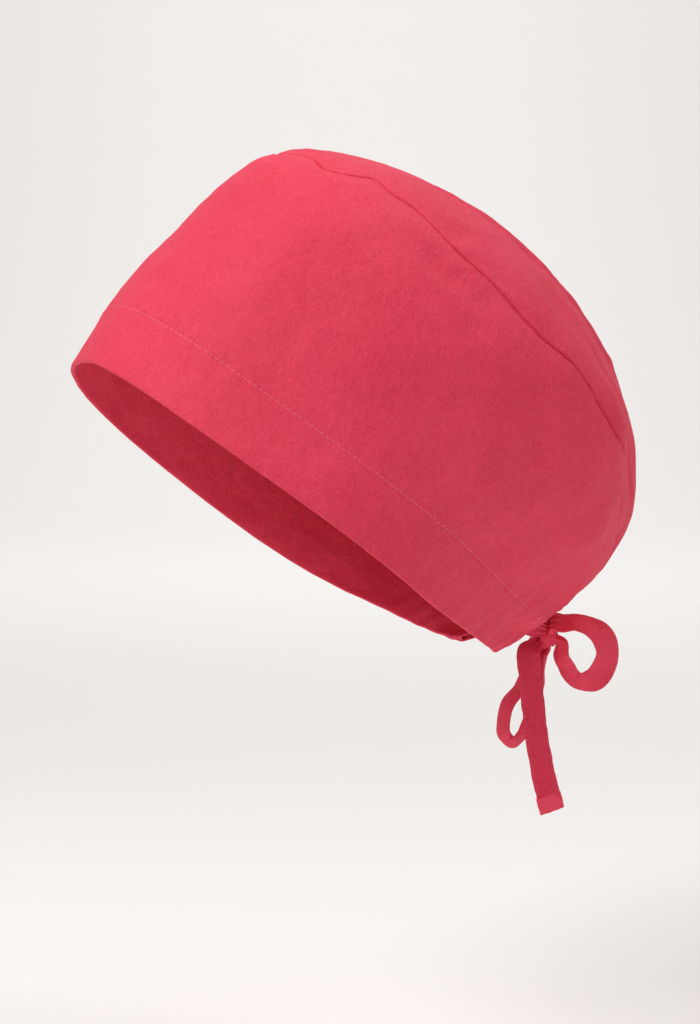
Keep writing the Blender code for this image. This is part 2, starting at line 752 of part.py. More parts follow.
def cloth_material(name, colour):
    """A plain cloth material."""
    material = bpy.data.materials.new(name)
    material.use_nodes = True
    shader = material.node_tree.nodes["Principled BSDF"]
    shader.inputs["Base Color"].default_value = (*colour, 1.0)
    shader.inputs["Roughness"].default_value = 0.9
    return material


def add_body(name, mesh, colour, collection, lift):
    """One named object from a mesh of vertices and faces, with its faces turned outward."""
    vertices, faces = mesh
    data = bpy.data.meshes.new(name)
    data.from_pydata([tuple(v - lift) for v in vertices], [], faces)
    work = bmesh.new()
    work.from_mesh(data)
    bmesh.ops.remove_doubles(work, verts=work.verts, dist=2e-6)
    bmesh.ops.recalc_face_normals(work, faces=work.faces)
    bmesh.ops.triangulate(work, faces=work.faces)
    work.to_mesh(data)
    work.free()
    data.materials.append(cloth_material(name + "_cloth", colour))
    body = bpy.data.objects.new(name, data)
    collection.objects.link(body)
    return body


def build():
    """Builds the cap's nine pieces."""
    clear_scene()
    collection = bpy.data.collections.new("scrub_cap")
    bpy.context.scene.collection.children.link(collection)
    lift = Vector((0.0, 0.0, seat_height()))
    tie = CLOTH_COLOURS["tie"]
    pieces = (
        ("side_panel", side_panel_mesh(), CLOTH_COLOURS["side_panel"]),
        ("crown_panel", crown_panel_mesh(), CLOTH_COLOURS["crown_panel"]),
        ("tie_knot", knot_mesh(), tie),
        ("tie_loop_left", loop_mesh(LOOP_LEFT, "loop_left_top", "loop_left_foot"), tie),
        ("tie_loop_right", loop_mesh(LOOP_RIGHT, "loop_right_top", "loop_right_foot"), tie),
        ("tie_tail_left", tail_mesh(TAIL_LEFT, "tail_left"), tie),
        ("tie_tail_right", tail_mesh(TAIL_RIGHT, "tail_right"), tie),
        ("tie_lead_left", lead_mesh(1), tie),
        ("tie_lead_right", lead_mesh(-1), tie),
    )
    for name, mesh, colour in pieces:
        add_body(name, mesh, colour, collection, lift)


if __name__ == "__main__":
    build()
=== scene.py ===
"""Dresses the scrub cap: cotton panels, their seam and stitching, the tie in its bow, and a plain stage."""

import math

import bmesh
import bpy
import numpy as np
from bpy.props import FloatProperty, FloatVectorProperty, IntProperty, PointerProperty
from mathutils import Matrix, Vector, noise


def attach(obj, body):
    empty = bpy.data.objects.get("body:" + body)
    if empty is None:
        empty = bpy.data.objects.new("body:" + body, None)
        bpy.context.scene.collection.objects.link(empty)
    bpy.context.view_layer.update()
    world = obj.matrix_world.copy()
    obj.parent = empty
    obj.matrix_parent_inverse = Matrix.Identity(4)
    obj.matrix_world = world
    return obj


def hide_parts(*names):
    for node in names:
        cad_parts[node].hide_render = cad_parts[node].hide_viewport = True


bl_info = {
    "name": "Scrub cap",
    "version": (1, 0, 0),
    "blender": (4, 5, 0),
    "location": "View3D > Sidebar > Scrub cap",
    "description": "Builds a cotton scrub cap with its seams, stitching and tied bow",
    "category": "Object",
}

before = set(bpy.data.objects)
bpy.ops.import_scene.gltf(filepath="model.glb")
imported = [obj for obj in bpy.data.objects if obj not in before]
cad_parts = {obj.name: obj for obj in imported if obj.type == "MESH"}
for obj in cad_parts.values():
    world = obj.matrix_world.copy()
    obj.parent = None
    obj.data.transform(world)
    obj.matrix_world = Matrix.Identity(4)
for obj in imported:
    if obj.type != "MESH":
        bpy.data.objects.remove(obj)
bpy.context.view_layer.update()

# The cap's sizes, as in the part
HEM_LENGTH = 0.2190
HEM_BREADTH = 0.1560
HEM_TILT = math.radians(36.0)
HEM_DIP = 0.0065
NAPE_LIFT = 0.0023
NAPE_LIFT_START = math.radians(108.0)
NAPE_LIFT_REACH = math.radians(32.0)
HEM_DEPTH = 0.0255
HEM_SEWN = 0.0020
CROWN_RISE = 0.1470
CASING_SLOT = 0.0005
CASING_MOUTH = 0.0024
MOUTH_REACH = 0.0140
END_ANGLE_FOOT = math.radians(163.0)
END_ANGLE_STITCH = math.radians(170.0)
END_BULGE = math.radians(1.5)
CROWN_END_WAY = 0.135
EGG = 0.05
BROW = 0.05
GATHER_DEPTH = 0.0013
GATHER_START = 0.018
GATHER_REACH = 0.058
GATHER_COUNT = 8
FOLD_DEPTH = 0.0010
FOLD_COUNT = 5
SEAM_DIP = 0.0007
SEAM_DIP_REACH = 0.0045
TIE_WIDTH = 0.0105
TIE_THICK = 0.0012
TIE_DRAWN_WIDTH = 0.0052
TIE_DRAWN_THICK = 0.0022
TIE_DRAWN_REACH = 0.0085
KNOT_BEHIND = 0.0240
KNOT_RISE = 0.0235
KNOT_SIZE = (0.0130, 0.0088, 0.0120)
BOW_REACH = 0.0323
BOW_TURN = math.radians(66.0)
TAIL_HEM = 0.0075
LOOP_STUB = 0.0022
LEAD_TUCK = 0.0040
LEAD_WAY = 0.093

# Soft dents in the side panel: angle from the middle of the forehead, way up, their sizes and their share of
# DENT_DEPTH
DENT_DEPTH = 0.0014
DENT_COLUMNS = ("angle", "way", "angle_size", "way_size", "depth")
DENTS = (
    (68.0, 0.500, 13.0, 0.030, 0.86),
    (108.0, 0.455, 9.0, 0.035, 1.00),
    (30.0, 0.330, 16.0, 0.090, 0.57),
)

# Rings of the cap from its lower edge to the apex, in shares of CROWN_RISE and of half the hem's sizes
RING_COLUMNS = ("rise", "front", "back", "side", "drawn")
RINGS = (
    (0.000, 0.980, 1.045, 1.000, 0.36),
    (0.090, 0.980, 1.105, 1.000, 0.45),
    (0.180, 0.980, 1.165, 1.005, 0.50),
    (0.300, 0.970, 1.208, 1.045, 0.38),
    (0.430, 0.950, 1.220, 1.085, 0.20),
    (0.550, 0.925, 1.180, 1.090, 0.10),
    (0.660, 0.885, 1.090, 1.055, 0.07),
    (0.760, 0.825, 0.980, 0.970, 0.04),
    (0.845, 0.710, 0.820, 0.830, 0.02),
    (0.915, 0.520, 0.625, 0.640, 0.00),
    (0.965, 0.290, 0.420, 0.425, 0.00),
    (0.992, 0.050, 0.230, 0.195, 0.00),
    (1.000, -0.080, 0.080, 0.000, 0.00),
)

# The seam between the two panels
SEAM_COLUMNS = ("angle", "way")
SEAM = (
    (0.0, 0.566),
    (12.0, 0.571),
    (20.0, 0.573),
    (30.0, 0.554),
    (36.0, 0.572),
    (41.0, 0.603),
    (48.0, 0.591),
    (57.0, 0.591),
    (69.0, 0.565),
    (80.0, 0.551),
    (94.0, 0.524),
    (108.0, 0.514),
    (120.0, 0.488),
    (129.0, 0.473),
    (134.5, 0.470),
    (139.5, 0.452),
    (142.5, 0.405),
    (146.0, 0.362),
    (153.0, 0.330),
    (159.5, 0.282),
    (165.0, 0.228),
    (170.0, 0.182),
    (180.0, 0.162),
)
SPINE_FRONT = -0.22
SPINE_BACK = 0.74

# Soft ridges along the crown, in shares of the way from the apex, with each one's share of CROWN_FOLD_DEPTH
CROWN_FOLD_DEPTH = 0.0011
CROWN_FOLD_WIDTH = 0.0026
CROWN_FOLD_COLUMNS = ("left", "bow", "front", "back", "depth")
CROWN_FOLDS = (
    (0.205, -0.30, -0.24, 0.42, 1.00),
    (0.165, -0.20, -0.05, 0.52, 0.55),
    (0.325, -0.60, 0.10, 0.58, 0.80),
    (0.090, -0.10, 0.02, 0.62, 0.45),
)

# The cloth's small crumples: the height of each kind, the size of its lumps, and its seed
CRUMPLE_COLUMNS = ("height", "size", "seed")
CRUMPLES = {
    "soft": (0.00115, 0.0360, 1),
    "crease": (0.00052, 0.0140, 2),
    "pull": (0.00024, 0.0105, 13),
    "fine": (0.00009, 0.0052, 3),
    "slack": (0.00085, 0.0210, 14),
    "upright": (0.00045, 0.0075, 12),
    "stitched": (0.00016, 0.0055, 5),
    "seamed": (0.00012, 0.0050, 7),
}
CREASE_LIFT = 0.00026
PLEAT_DEPTH = 0.00070
PLEAT_COUNT = 19.0
CASING_WAVE_DEPTH = 0.00034
CASING_WAVE_LENGTH = 0.0088
STITCH_PRESS = 0.00022
STITCH_RIDGE = 0.00010
STITCH_PUCKER_REACH = 0.0042
SEAM_PUCKER_REACH = 0.0055
SEAM_GROOVE_DEPTH = 0.00150
SEAM_GROOVE_WIDTH = 0.00050
SEAM_RIDGE_SIDE = 0.00020
SEAM_RIDGE_CROWN = 0.00008

# The seam's sewn edges inside, the tie's sewing, its turned ends, its leads, and its turn round the knot
ALLOWANCE_WIDTH = 0.0085
ALLOWANCE_THICK = 0.0012
TOPSTITCH_PLACE = 0.84
TOPSTITCH_LENGTH = 0.0017
TOPSTITCH_PITCH = 0.0021
TOPSTITCH_THREAD_SHARE = 0.6
TOPSTITCH_GROOVE = 0.00016
TAIL_HEM_WIDTH = 0.0114
TAIL_HEM_THICK = 0.0022
TAIL_HEM_FRAY = 0.00035
LEAD_WIDTH = 0.0070
OVER_KNOT_WIDTH = 0.0080
OVER_KNOT_CAMBER = 0.0005
KNOT_TUCK = 0.0026
WRAP_RADIUS = 0.0052
WRAP_HALF_WIDTH = 0.0036

# Ribbons of the bow, in shares of BOW_REACH from the knot's middle, with the direction across each
RIBBON_COLUMNS = ("out", "up", "near", "across_out", "across_up", "across_near")
LOOP_LEFT = (
    (0.18, 0.160, 0.22, 0.08, 0.70, -0.71),
    (0.36, 0.180, 0.25, 0.08, 0.56, -0.82),
    (0.53, 0.135, 0.28, 0.26, 0.62, -0.74),
    (0.69, 0.035, 0.30, 0.74, 0.60, -0.26),
    (0.783, -0.21, 0.28, 0.95, 0.12, -0.22),
    (0.735, -0.44, 0.22, 0.90, -0.34, -0.12),
    (0.63, -0.60, 0.15, 0.66, -0.66, 0.05),
    (0.47, -0.65, 0.06, 0.05, -0.76, -0.50),
    (0.36, -0.60, -0.01, -0.56, -0.44, -0.70),
    (0.27, -0.45, 0.02, -0.52, -0.30, -0.80),
    (0.20, -0.30, 0.08, -0.50, -0.30, -0.81),
)
LOOP_RIGHT = (
    (-0.05, -0.38, -0.26, -0.50, 0.10, 0.83),
    (-0.08, -0.56, -0.34, -0.52, 0.10, 0.82),
    (-0.09, -0.80, -0.41, -0.54, 0.10, 0.82),
    (-0.12, -1.04, -0.46, -0.55, 0.12, 0.82),
    (-0.20, -1.29, -0.49, -0.53, 0.20, 0.82),
    (-0.29, -1.50, -0.52, -0.38, 0.45, 0.80),
    (-0.42, -1.61, -0.55, 0.10, 0.60, 0.79),
    (-0.53, -1.51, -0.57, 0.42, 0.35, 0.84),
    (-0.55, -1.30, -0.57, 0.46, 0.00, 0.89),
    (-0.49, -1.07, -0.56, 0.42, -0.16, 0.89),
    (-0.35, -0.88, -0.54, 0.34, -0.17, 0.92),
    (-0.27, -0.70, -0.50, 0.30, -0.18, 0.93),
    (-0.23, -0.50, -0.43, 0.30, -0.20, 0.93),
)
TAIL_LEFT = (
    (-0.26, -0.24, 0.20, 0.92, 0.10, -0.10),
    (-0.26, -0.38, 0.22, 0.97, 0.03, -0.22),
    (-0.24, -0.57, 0.22, 0.94, 0.06, -0.34),
    (-0.22, -0.82, 0.21, 0.93, 0.12, -0.36),
    (-0.18, -1.07, 0.19, 0.93, 0.14, -0.36),
    (-0.15, -1.34, 0.17, 0.93, 0.16, -0.35),
    (-0.10, -1.61, 0.15, 0.93, 0.17, -0.32),
    (-0.05, -1.90, 0.13, 0.95, 0.20, -0.22),
    (0.02, -2.18, 0.11, 0.95, 0.22, -0.20),
    (0.08, -2.41, 0.10, 0.95, 0.26, -0.18),
)
TAIL_RIGHT = (
    (-0.15, -0.32, 0.00, 0.88, 0.10, 0.45),
    (-0.20, -0.54, -0.02, 0.90, 0.08, 0.42),
    (-0.19, -0.80, -0.04, 0.90, 0.10, 0.40),
    (-0.16, -1.10, -0.05, 0.90, 0.12, 0.38),
    (-0.13, -1.40, -0.06, 0.90, 0.14, 0.36),
    (-0.08, -1.70, -0.07, 0.88, 0.16, 0.40),
    (-0.02, -1.98, -0.08, 0.86, 0.18, 0.42),
    (0.03, -2.18, -0.09, 0.86, 0.20, 0.44),
)

# Where each ribbon leaves the knot, as a direction in the bow's frame
KNOT_EXITS = {
    "loop_left_top": (0.30, 0.66, 0.69),
    "loop_left_foot": (0.75, -0.48, 0.46),
    "loop_right_top": (-0.05, -0.80, -0.60),
    "loop_right_foot": (-0.45, -0.45, -0.77),
    "tail_left": (-0.58, -0.62, 0.52),
    "tail_right": (-0.20, -0.96, -0.18),
}

# How finely the cloth is divided
SIDE_COLUMNS = 440
HEM_ROWS = 22
UPPER_ROWS = 82
INNER_ROWS = 26
FOLD_STEPS = 7
CROWN_ROWS = 58
CROWN_INNER_ROWS = 18
CROWN_END_COLUMNS = 10
SEAM_ROWS = (0.0, 0.0002, 0.0005, 0.0009, 0.0014, 0.0021, 0.0030, 0.0042)
COLUMN_CROWDING = 0.10
RIBBON_EDGE_POINTS = 25
TAIL_HEM_STEPS = 26
LEAD_STEPS = 40

# Sizes of the patterns in the cloth and the thread
CLOUD_SIZE = 0.0333
CREPE_SIZE = 0.00303
SPECK_SPACING = 0.00667
SPECK_SIZE = 0.0004
SPECK_SHARE = 0.20
TWIST_PITCH = 0.0011111

# The camera, which looks at the cap from the wearer's left and a little above
CAMERA_TURN = math.radians(66.0)
CAMERA_LIFT = math.radians(5.8)
CAMERA_TARGET = (0.0, 0.028, -0.147)
CAMERA_LENS = 84.375
CAMERA_SENSOR = 36.0

# The floor's paper: its reach to the front and to the curve behind, the curve's radius, and its other sizes
PAPER_FRONT = 4.0
PAPER_BACK = 2.2
PAPER_CURVE = 1.2
PAPER_TOP = 5.0
PAPER_SIDE = 5.0
PAPER_STEPS = 20

# The lamps, in metres to the right, up and back to the camera from what it looks at, and where they aim
LAMP_COLUMNS = ("name", "right", "up", "back", "aim_up", "aim_back", "size", "power")
LAMPS = (
    ("key", -0.90, 1.05, 0.90, 0.0, 0.0, 0.7, 16.8),
    ("fill", 1.20, 1.50, 0.20, 0.0, 0.0, 0.7, 8.5),
    ("top", 0.30, 1.70, -0.40, 0.0, 0.0, 1.2, 8.0),
    ("backdrop", 0.00, 1.50, -1.70, 0.5, -3.3, 1.6, 14.0),
)
ROOM_LIGHT = 0.36

ALONG = np.array((0.0, math.cos(HEM_TILT), -math.sin(HEM_TILT)))
RISE = np.array((0.0, math.sin(HEM_TILT), math.cos(HEM_TILT)))
ACROSS = np.array((1.0, 0.0, 0.0))
KNOT_MIDDLE = (HEM_LENGTH / 2 + KNOT_BEHIND) * ALONG + KNOT_RISE * RISE


def named_rows(columns, rows):
    """Each row of a table as a dictionary."""
    return [dict(zip(columns, row)) for row in rows]


def smooth_curve(keys, values, at):
    """A smooth curve through values at keys, read at many places."""
    keys = np.asarray(keys, float)
    values = np.asarray(values, float)
    at = np.asarray(at, float)
    rates = np.diff(values) / np.diff(keys)
    share = (keys[1:-1] - keys[:-2]) / (keys[2:] - keys[:-2])
    slopes = np.concatenate((rates[:1], rates[:-1] * (1 - share) + rates[1:] * share, rates[-1:]))
    i = np.clip(np.searchsorted(keys, at, side="right") - 1, 0, len(keys) - 2)
    span = keys[i + 1] - keys[i]
    t = (at - keys[i]) / span
    rise = t * t * (3 - 2 * t)
    bends = span * (slopes[i] * t * (1 - t) ** 2 + slopes[i + 1] * t * t * (t - 1))
    return values[i] * (1 - rise) + values[i + 1] * rise + bends


def smooth_path(keys, points, at):
    """A smooth path through points, read at many places."""
    return np.stack([smooth_curve(keys, np.asarray(points)[:, k], at) for k in range(3)], -1)


def ease(value):
    """A smooth step from 0 to 1."""
    value = np.clip(value, 0.0, 1.0)
    return value * value * (3 - 2 * value)


def unit(vectors):
    """Vectors of length one."""
    return vectors / np.maximum(np.linalg.norm(vectors, axis=-1, keepdims=True), 1e-12)


def bell(distance, width):
    """A smooth bump of height one where the distance is zero."""
    return np.exp(-((distance / width) ** 2))


def path_lengths(points):
    """How far along a path each of its points is."""
    return np.concatenate(((0.0,), np.cumsum(np.linalg.norm(np.diff(points, axis=0), axis=1))))


def rumple(places, size, seed):
    """Smooth noise between about -1 and 1 at places in metres, with lumps of a size in metres."""
    flat = np.asarray(places, float).reshape(-1, 3) / size + seed * 17.3
    values = [noise.noise(Vector(place)) for place in flat.tolist()]
    return np.array(values).reshape(np.asarray(places).shape[:-1]) * 1.6


def ring_curves():
    """The rings' way from the hem to the apex, with the sizes in metres at each, mirrored past the apex."""
    rings = []
    for row in named_rows(RING_COLUMNS, RINGS):
        front = row["front"] * HEM_LENGTH / 2
        back = row["back"] * HEM_LENGTH / 2
        ring = {"rise": row["rise"] * CROWN_RISE, "centre": (back - front) / 2, "half": (back + front) / 2}
        ring["side"] = row["side"] * HEM_BREADTH / 2
        ring["drawn"] = row["drawn"]
        rings.append(ring)
    way = [0.0]
    for low, high in zip(rings, rings[1:]):
        inward = (low["half"] + low["side"] - high["half"] - high["side"]) / 2
        way.append(way[-1] + math.hypot(high["rise"] - low["rise"], inward))
    total = way[-1]
    ghost = dict(rings[-2], half=-rings[-2]["half"], side=-rings[-2]["side"])
    ghost["centre"] = 2 * rings[-1]["centre"] - rings[-2]["centre"]
    rings.append(ghost)
    way.append(2 * total - way[-2])
    curves = {name: [ring[name] for ring in rings] for name in rings[0]}
    return [place / total for place in way], curves, total


RING_WAY, RING_SIZES, SIDE_LENGTH = ring_curves()
SEAM_ANGLES = [math.radians(row["angle"]) for row in named_rows(SEAM_COLUMNS, SEAM)]
SEAM_WAYS = [row["way"] for row in named_rows(SEAM_COLUMNS, SEAM)]
STITCH_WAY = HEM_DEPTH / SIDE_LENGTH
SEWN_WAY = (HEM_DEPTH + HEM_SEWN) / SIDE_LENGTH


def seam_way(angle):
    """The way up to the seam at each angle."""
    return smooth_curve(SEAM_ANGLES, SEAM_WAYS, np.abs(angle))


def seam_lean(angle):
    """The nearest distance to the seam as a share of the way up to it, less where the seam is steep."""
    step = 0.01
    climb = (seam_way(np.abs(angle) + step) - seam_way(np.maximum(np.abs(angle) - step, 0.0))) * SIDE_LENGTH
    return 1 / np.hypot(1.0, climb / (2 * step * HEM_BREADTH / 2))


def plain_point(angle, way):
    """Points of the cap's outer skin before its gathers, from the middle of the hem."""
    sizes = {name: smooth_curve(RING_WAY, values, way) for name, values in RING_SIZES.items()}
    cosine = np.cos(angle)
    sine = np.sin(angle)
    square = sine * sine
    fuller = 1 + np.where(cosine > 0, BROW * np.sin(2 * angle) ** 2, 0.0)
    drawn = 1 - np.where(cosine < 0, sizes["drawn"] * cosine * cosine, 0.0)
    along = sizes["centre"] - sizes["half"] * cosine * fuller
    across = sizes["side"] * sine * fuller * (1 - EGG * cosine) * drawn
    dip = HEM_DIP * square * (2 - square) * (1 - 0.3 * cosine) * (1 - way * way)
    nape = ease((np.abs(angle) - NAPE_LIFT_START) / NAPE_LIFT_REACH) * (1 - ease(way / STITCH_WAY / 0.6))
    rise = sizes["rise"] - dip + NAPE_LIFT * nape
    return along[..., None] * ALONG + across[..., None] * ACROSS + rise[..., None] * RISE


def disc_place(angle, way):
    """How far back and left places are in the disc whose middle is the apex."""
    return -(1 - way) * np.cos(angle), (1 - way) * np.sin(angle)


def disc_point(back, left):
    """The angle and way of places in the disc whose middle is the apex."""
    return np.arctan2(left, -back), 1 - np.hypot(back, left)


def plain_normal(angle, way):
    """The outward direction of the plain skin."""
    back, left = disc_place(angle, way)
    step = 0.004
    behind = plain_point(*disc_point(back + step, left)) - plain_point(*disc_point(back - step, left))
    beside = plain_point(*disc_point(back, left + step)) - plain_point(*disc_point(back, left - step))
    return unit(np.cross(beside, behind))


def end_angle(way):
    """The angle at which the side panel ends at the nape."""
    share = np.clip(np.asarray(way) / STITCH_WAY, 0.0, 1.0)
    return END_ANGLE_FOOT + (END_ANGLE_STITCH - END_ANGLE_FOOT) * share + END_BULGE * np.sin(math.pi * share)


def slot_width(angle, way):
    """The casing's inner width, which opens towards its mouths."""
    rest = (end_angle(way) - np.abs(angle)) * HEM_BREADTH / 2
    return CASING_SLOT + (CASING_MOUTH - CASING_SLOT) * (1 - ease(rest / MOUTH_REACH))


def relief(angle, way, on_crown):
    """The large forms of the cloth, as in the part: gathers, folds and dents."""
    point = plain_point(angle, way)
    away = point - KNOT_MIDDLE
    above = (way - STITCH_WAY) * SIDE_LENGTH
    reach = np.linalg.norm(away, axis=-1)
    turn = np.arctan2(above, np.abs(point[..., 0]))
    near = ease((reach - GATHER_START) / GATHER_START) * (1 - ease((reach - GATHER_START) / GATHER_REACH))
    if not on_crown:
        near = near * ease((end_angle(way) - np.abs(angle)) * HEM_BREADTH / 2 / MOUTH_REACH)
    height = GATHER_DEPTH * near * np.cos(GATHER_COUNT * turn)
    if on_crown:
        back, across = disc_place(angle, way)
        behind = ease((back - 0.10) / 0.35) * (1 - ease((back - 0.62) / 0.20))
        height = height + FOLD_DEPTH * behind * np.cos(2 * math.pi * FOLD_COUNT * across)
    else:
        degrees = np.abs(np.degrees(angle))
        for dent in named_rows(DENT_COLUMNS, DENTS):
            aside = (degrees - dent["angle"]) / dent["angle_size"]
            up = (way - dent["way"]) / dent["way_size"]
            height = height - DENT_DEPTH * dent["depth"] * np.exp(-aside * aside - up * up)
    return height


def crumple(kind, places):
    """Crumples of one kind at places in metres."""
    row = dict(zip(CRUMPLE_COLUMNS, CRUMPLES[kind]))
    return row["height"] * rumple(places, row["size"], row["seed"])


def fine_relief(angle, way, on_crown, seam_distance):
    """The small forms that show only close by: crumples, pleats at the nape, and puckers at the sewing."""
    point = plain_point(angle, way)
    reach = np.linalg.norm(point - KNOT_MIDDLE, axis=-1)
    above = (way - STITCH_WAY) * SIDE_LENGTH
    turn = np.arctan2(above, np.abs(point[..., 0])) * np.sign(point[..., 0] + 1e-9)
    nothing = 0.0 * turn
    height = crumple("soft", point * (1.0, 0.7, 1.0)) + CREASE_LIFT - np.abs(crumple("crease", point))
    height = height + crumple("pull", point @ np.stack((RISE, 0.28 * ALONG, ACROSS)).T)
    height = height + crumple("fine", point * (1.0, 1.25, 0.8))
    slack = ease((np.abs(angle) - 1.3) / 0.5) * (1 - 0.6 * ease((np.abs(angle) - 2.6) / 0.4))
    height = height + slack * crumple("slack", point * (1.0, 1.0, 0.7))
    spread = rumple(np.stack((turn * 2.1, reach * 9.0, nothing), -1), 1.0, 4)
    pleat = np.cos(PLEAT_COUNT * turn + 2.6 * spread) * (0.6 + 0.4 * np.cos(7.0 * turn + 1.0))
    close = ease((reach - 0.010) / 0.012) * (1 - ease((reach - 0.016) / 0.050))
    lower = 1 - ease((above + 0.004) / 0.012)
    upright = crumple("upright", point * (0.6, 1.0, 0.25))
    height = height + close * (PLEAT_DEPTH * pleat * (1 - 0.6 * lower) + upright)
    span = angle * HEM_BREADTH / 2 * 1.15
    run = np.stack((span, above * 0.25, nothing), -1)
    if not on_crown:
        height = height + bell(above, STITCH_PUCKER_REACH) * crumple("stitched", run)
        height = height - STITCH_PRESS * bell(above, 0.0006)
        height = height + STITCH_RIDGE * bell(above + 0.0017, 0.0010)
        drawn = ease((np.abs(angle) - 2.10) / 0.60)
        inside = 1 - ease((above + 0.001) / 0.016)
        waves = np.cos(np.abs(span) * 2 * math.pi / CASING_WAVE_LENGTH + 1.7 * rumple(run, 0.012, 6))
        height = height + CASING_WAVE_DEPTH * drawn * inside * waves
    height = height + bell(seam_distance, SEAM_PUCKER_REACH) * crumple("seamed", run + 0.3)
    ridge = SEAM_RIDGE_CROWN if on_crown else SEAM_RIDGE_SIDE
    height = height + ridge * bell(seam_distance - 0.0013, 0.0008)
    if on_crown:
        height = height + crown_folds(angle, way)
    return height - SEAM_GROOVE_DEPTH * bell(seam_distance, SEAM_GROOVE_WIDTH)


def crown_folds(angle, way):
    """Soft lengthwise ridges where the crown is gathered, each with a shallow trough beside it."""
    back, left = disc_place(angle, way)
    height = 0.0 * back
    for row in named_rows(CROWN_FOLD_COLUMNS, CROWN_FOLDS):
        middle = row["left"] + row["bow"] * (back - 0.15) ** 2
        aside = (np.abs(left) - middle) * SIDE_LENGTH / CROWN_FOLD_WIDTH
        share = (back - row["front"]) / (row["back"] - row["front"])
        reach = ease(share / 0.25) * (1 - ease((share - 0.75) / 0.25))
        form = bell(aside, 1.0) - 0.35 * bell(aside - 1.7, 1.0)
        height = height + CROWN_FOLD_DEPTH * row["depth"] * reach * form
    return height


def skin(angle, way, depth, on_crown, seam_distance):
    """Points of the cloth at a depth under its outer skin."""
    angle = np.asarray(angle, float)
    way = np.asarray(way, float) + angle * 0.0
    height = relief(angle, way, on_crown)
    steep = bell(np.abs(np.degrees(angle)) - 152.0, 11.0)
    height = height - SEAM_DIP * (1 + 1.1 * steep) * bell(seam_distance, SEAM_DIP_REACH)
    height = height + fine_relief(angle, way, on_crown, seam_distance)
    return plain_point(angle, way) + (height - depth)[..., None] * plain_normal(angle, way)


def seat_height():
    """How high the crown's inside stands, straight above the middle of the hem, as in the part."""
    ways = 0.5 + 0.5 * np.arange(400) / 400
    best = None
    for angle in (0.0, math.pi):
        angles = np.full(400, angle)
        height = relief(angles, ways, True) - 0.0010
        points = plain_point(angles, ways) + height[:, None] * plain_normal(angles, ways)
        point = points[np.argmin(np.abs(points[:, 1]))]
        if best is None or abs(point[1]) < abs(best[1]):
            best = point
    return float(best[2])


LIFT = np.array((0.0, 0.0, seat_height()))


def grid_faces(rows, columns, start, around):
    """Quads of a grid of points kept row by row, closed round its columns if wanted."""
    last = columns if around else columns - 1
    row = np.arange(rows - 1)[:, None] * columns + start
    here = np.arange(last)[None, :]
    after = (here + 1) % columns
    quads = np.stack((row + here, row + columns + here, row + columns + after, row + after), -1)
    return quads.reshape(-1, 4).tolist()


def new_piece(name, points, faces, material, uv=None, sharp=50.0):
    """One object from points in the part's directions, with doubles merged and its faces turned outward."""
    mesh = bpy.data.meshes.new(name)
    mesh.from_pydata([tuple(p) for p in (np.asarray(points) - LIFT).tolist()], [], faces)
    if uv is not None:
        corners = np.empty(len(mesh.loops), dtype=np.int32)
        mesh.loops.foreach_get("vertex_index", corners)
        layer = mesh.uv_layers.new(name="UVMap")
        layer.data.foreach_set("uv", np.asarray(uv, dtype=np.float32)[corners].ravel())
    work = bmesh.new()
    work.from_mesh(mesh)
    bmesh.ops.remove_doubles(work, verts=work.verts, dist=1e-6)
    bmesh.ops.recalc_face_normals(work, faces=work.faces)
    work.to_mesh(mesh)
    work.free()
    mesh.polygons.foreach_set("use_smooth", [True] * len(mesh.polygons))
    mesh.set_sharp_from_angle(angle=math.radians(sharp))
    mesh.materials.append(material)
    piece = bpy.data.objects.new(name, mesh)
    bpy.context.scene.collection.objects.link(piece)
    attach(piece, "root")
    return piece


def column_shares():
    """Where the panels' columns stand, from -1 on the right to 1 on the left, closer at the nape."""
    share = 2 * np.arange(SIDE_COLUMNS + 1) / SIDE_COLUMNS - 1
    return share + COLUMN_CROWDING * np.sin(math.pi * share)


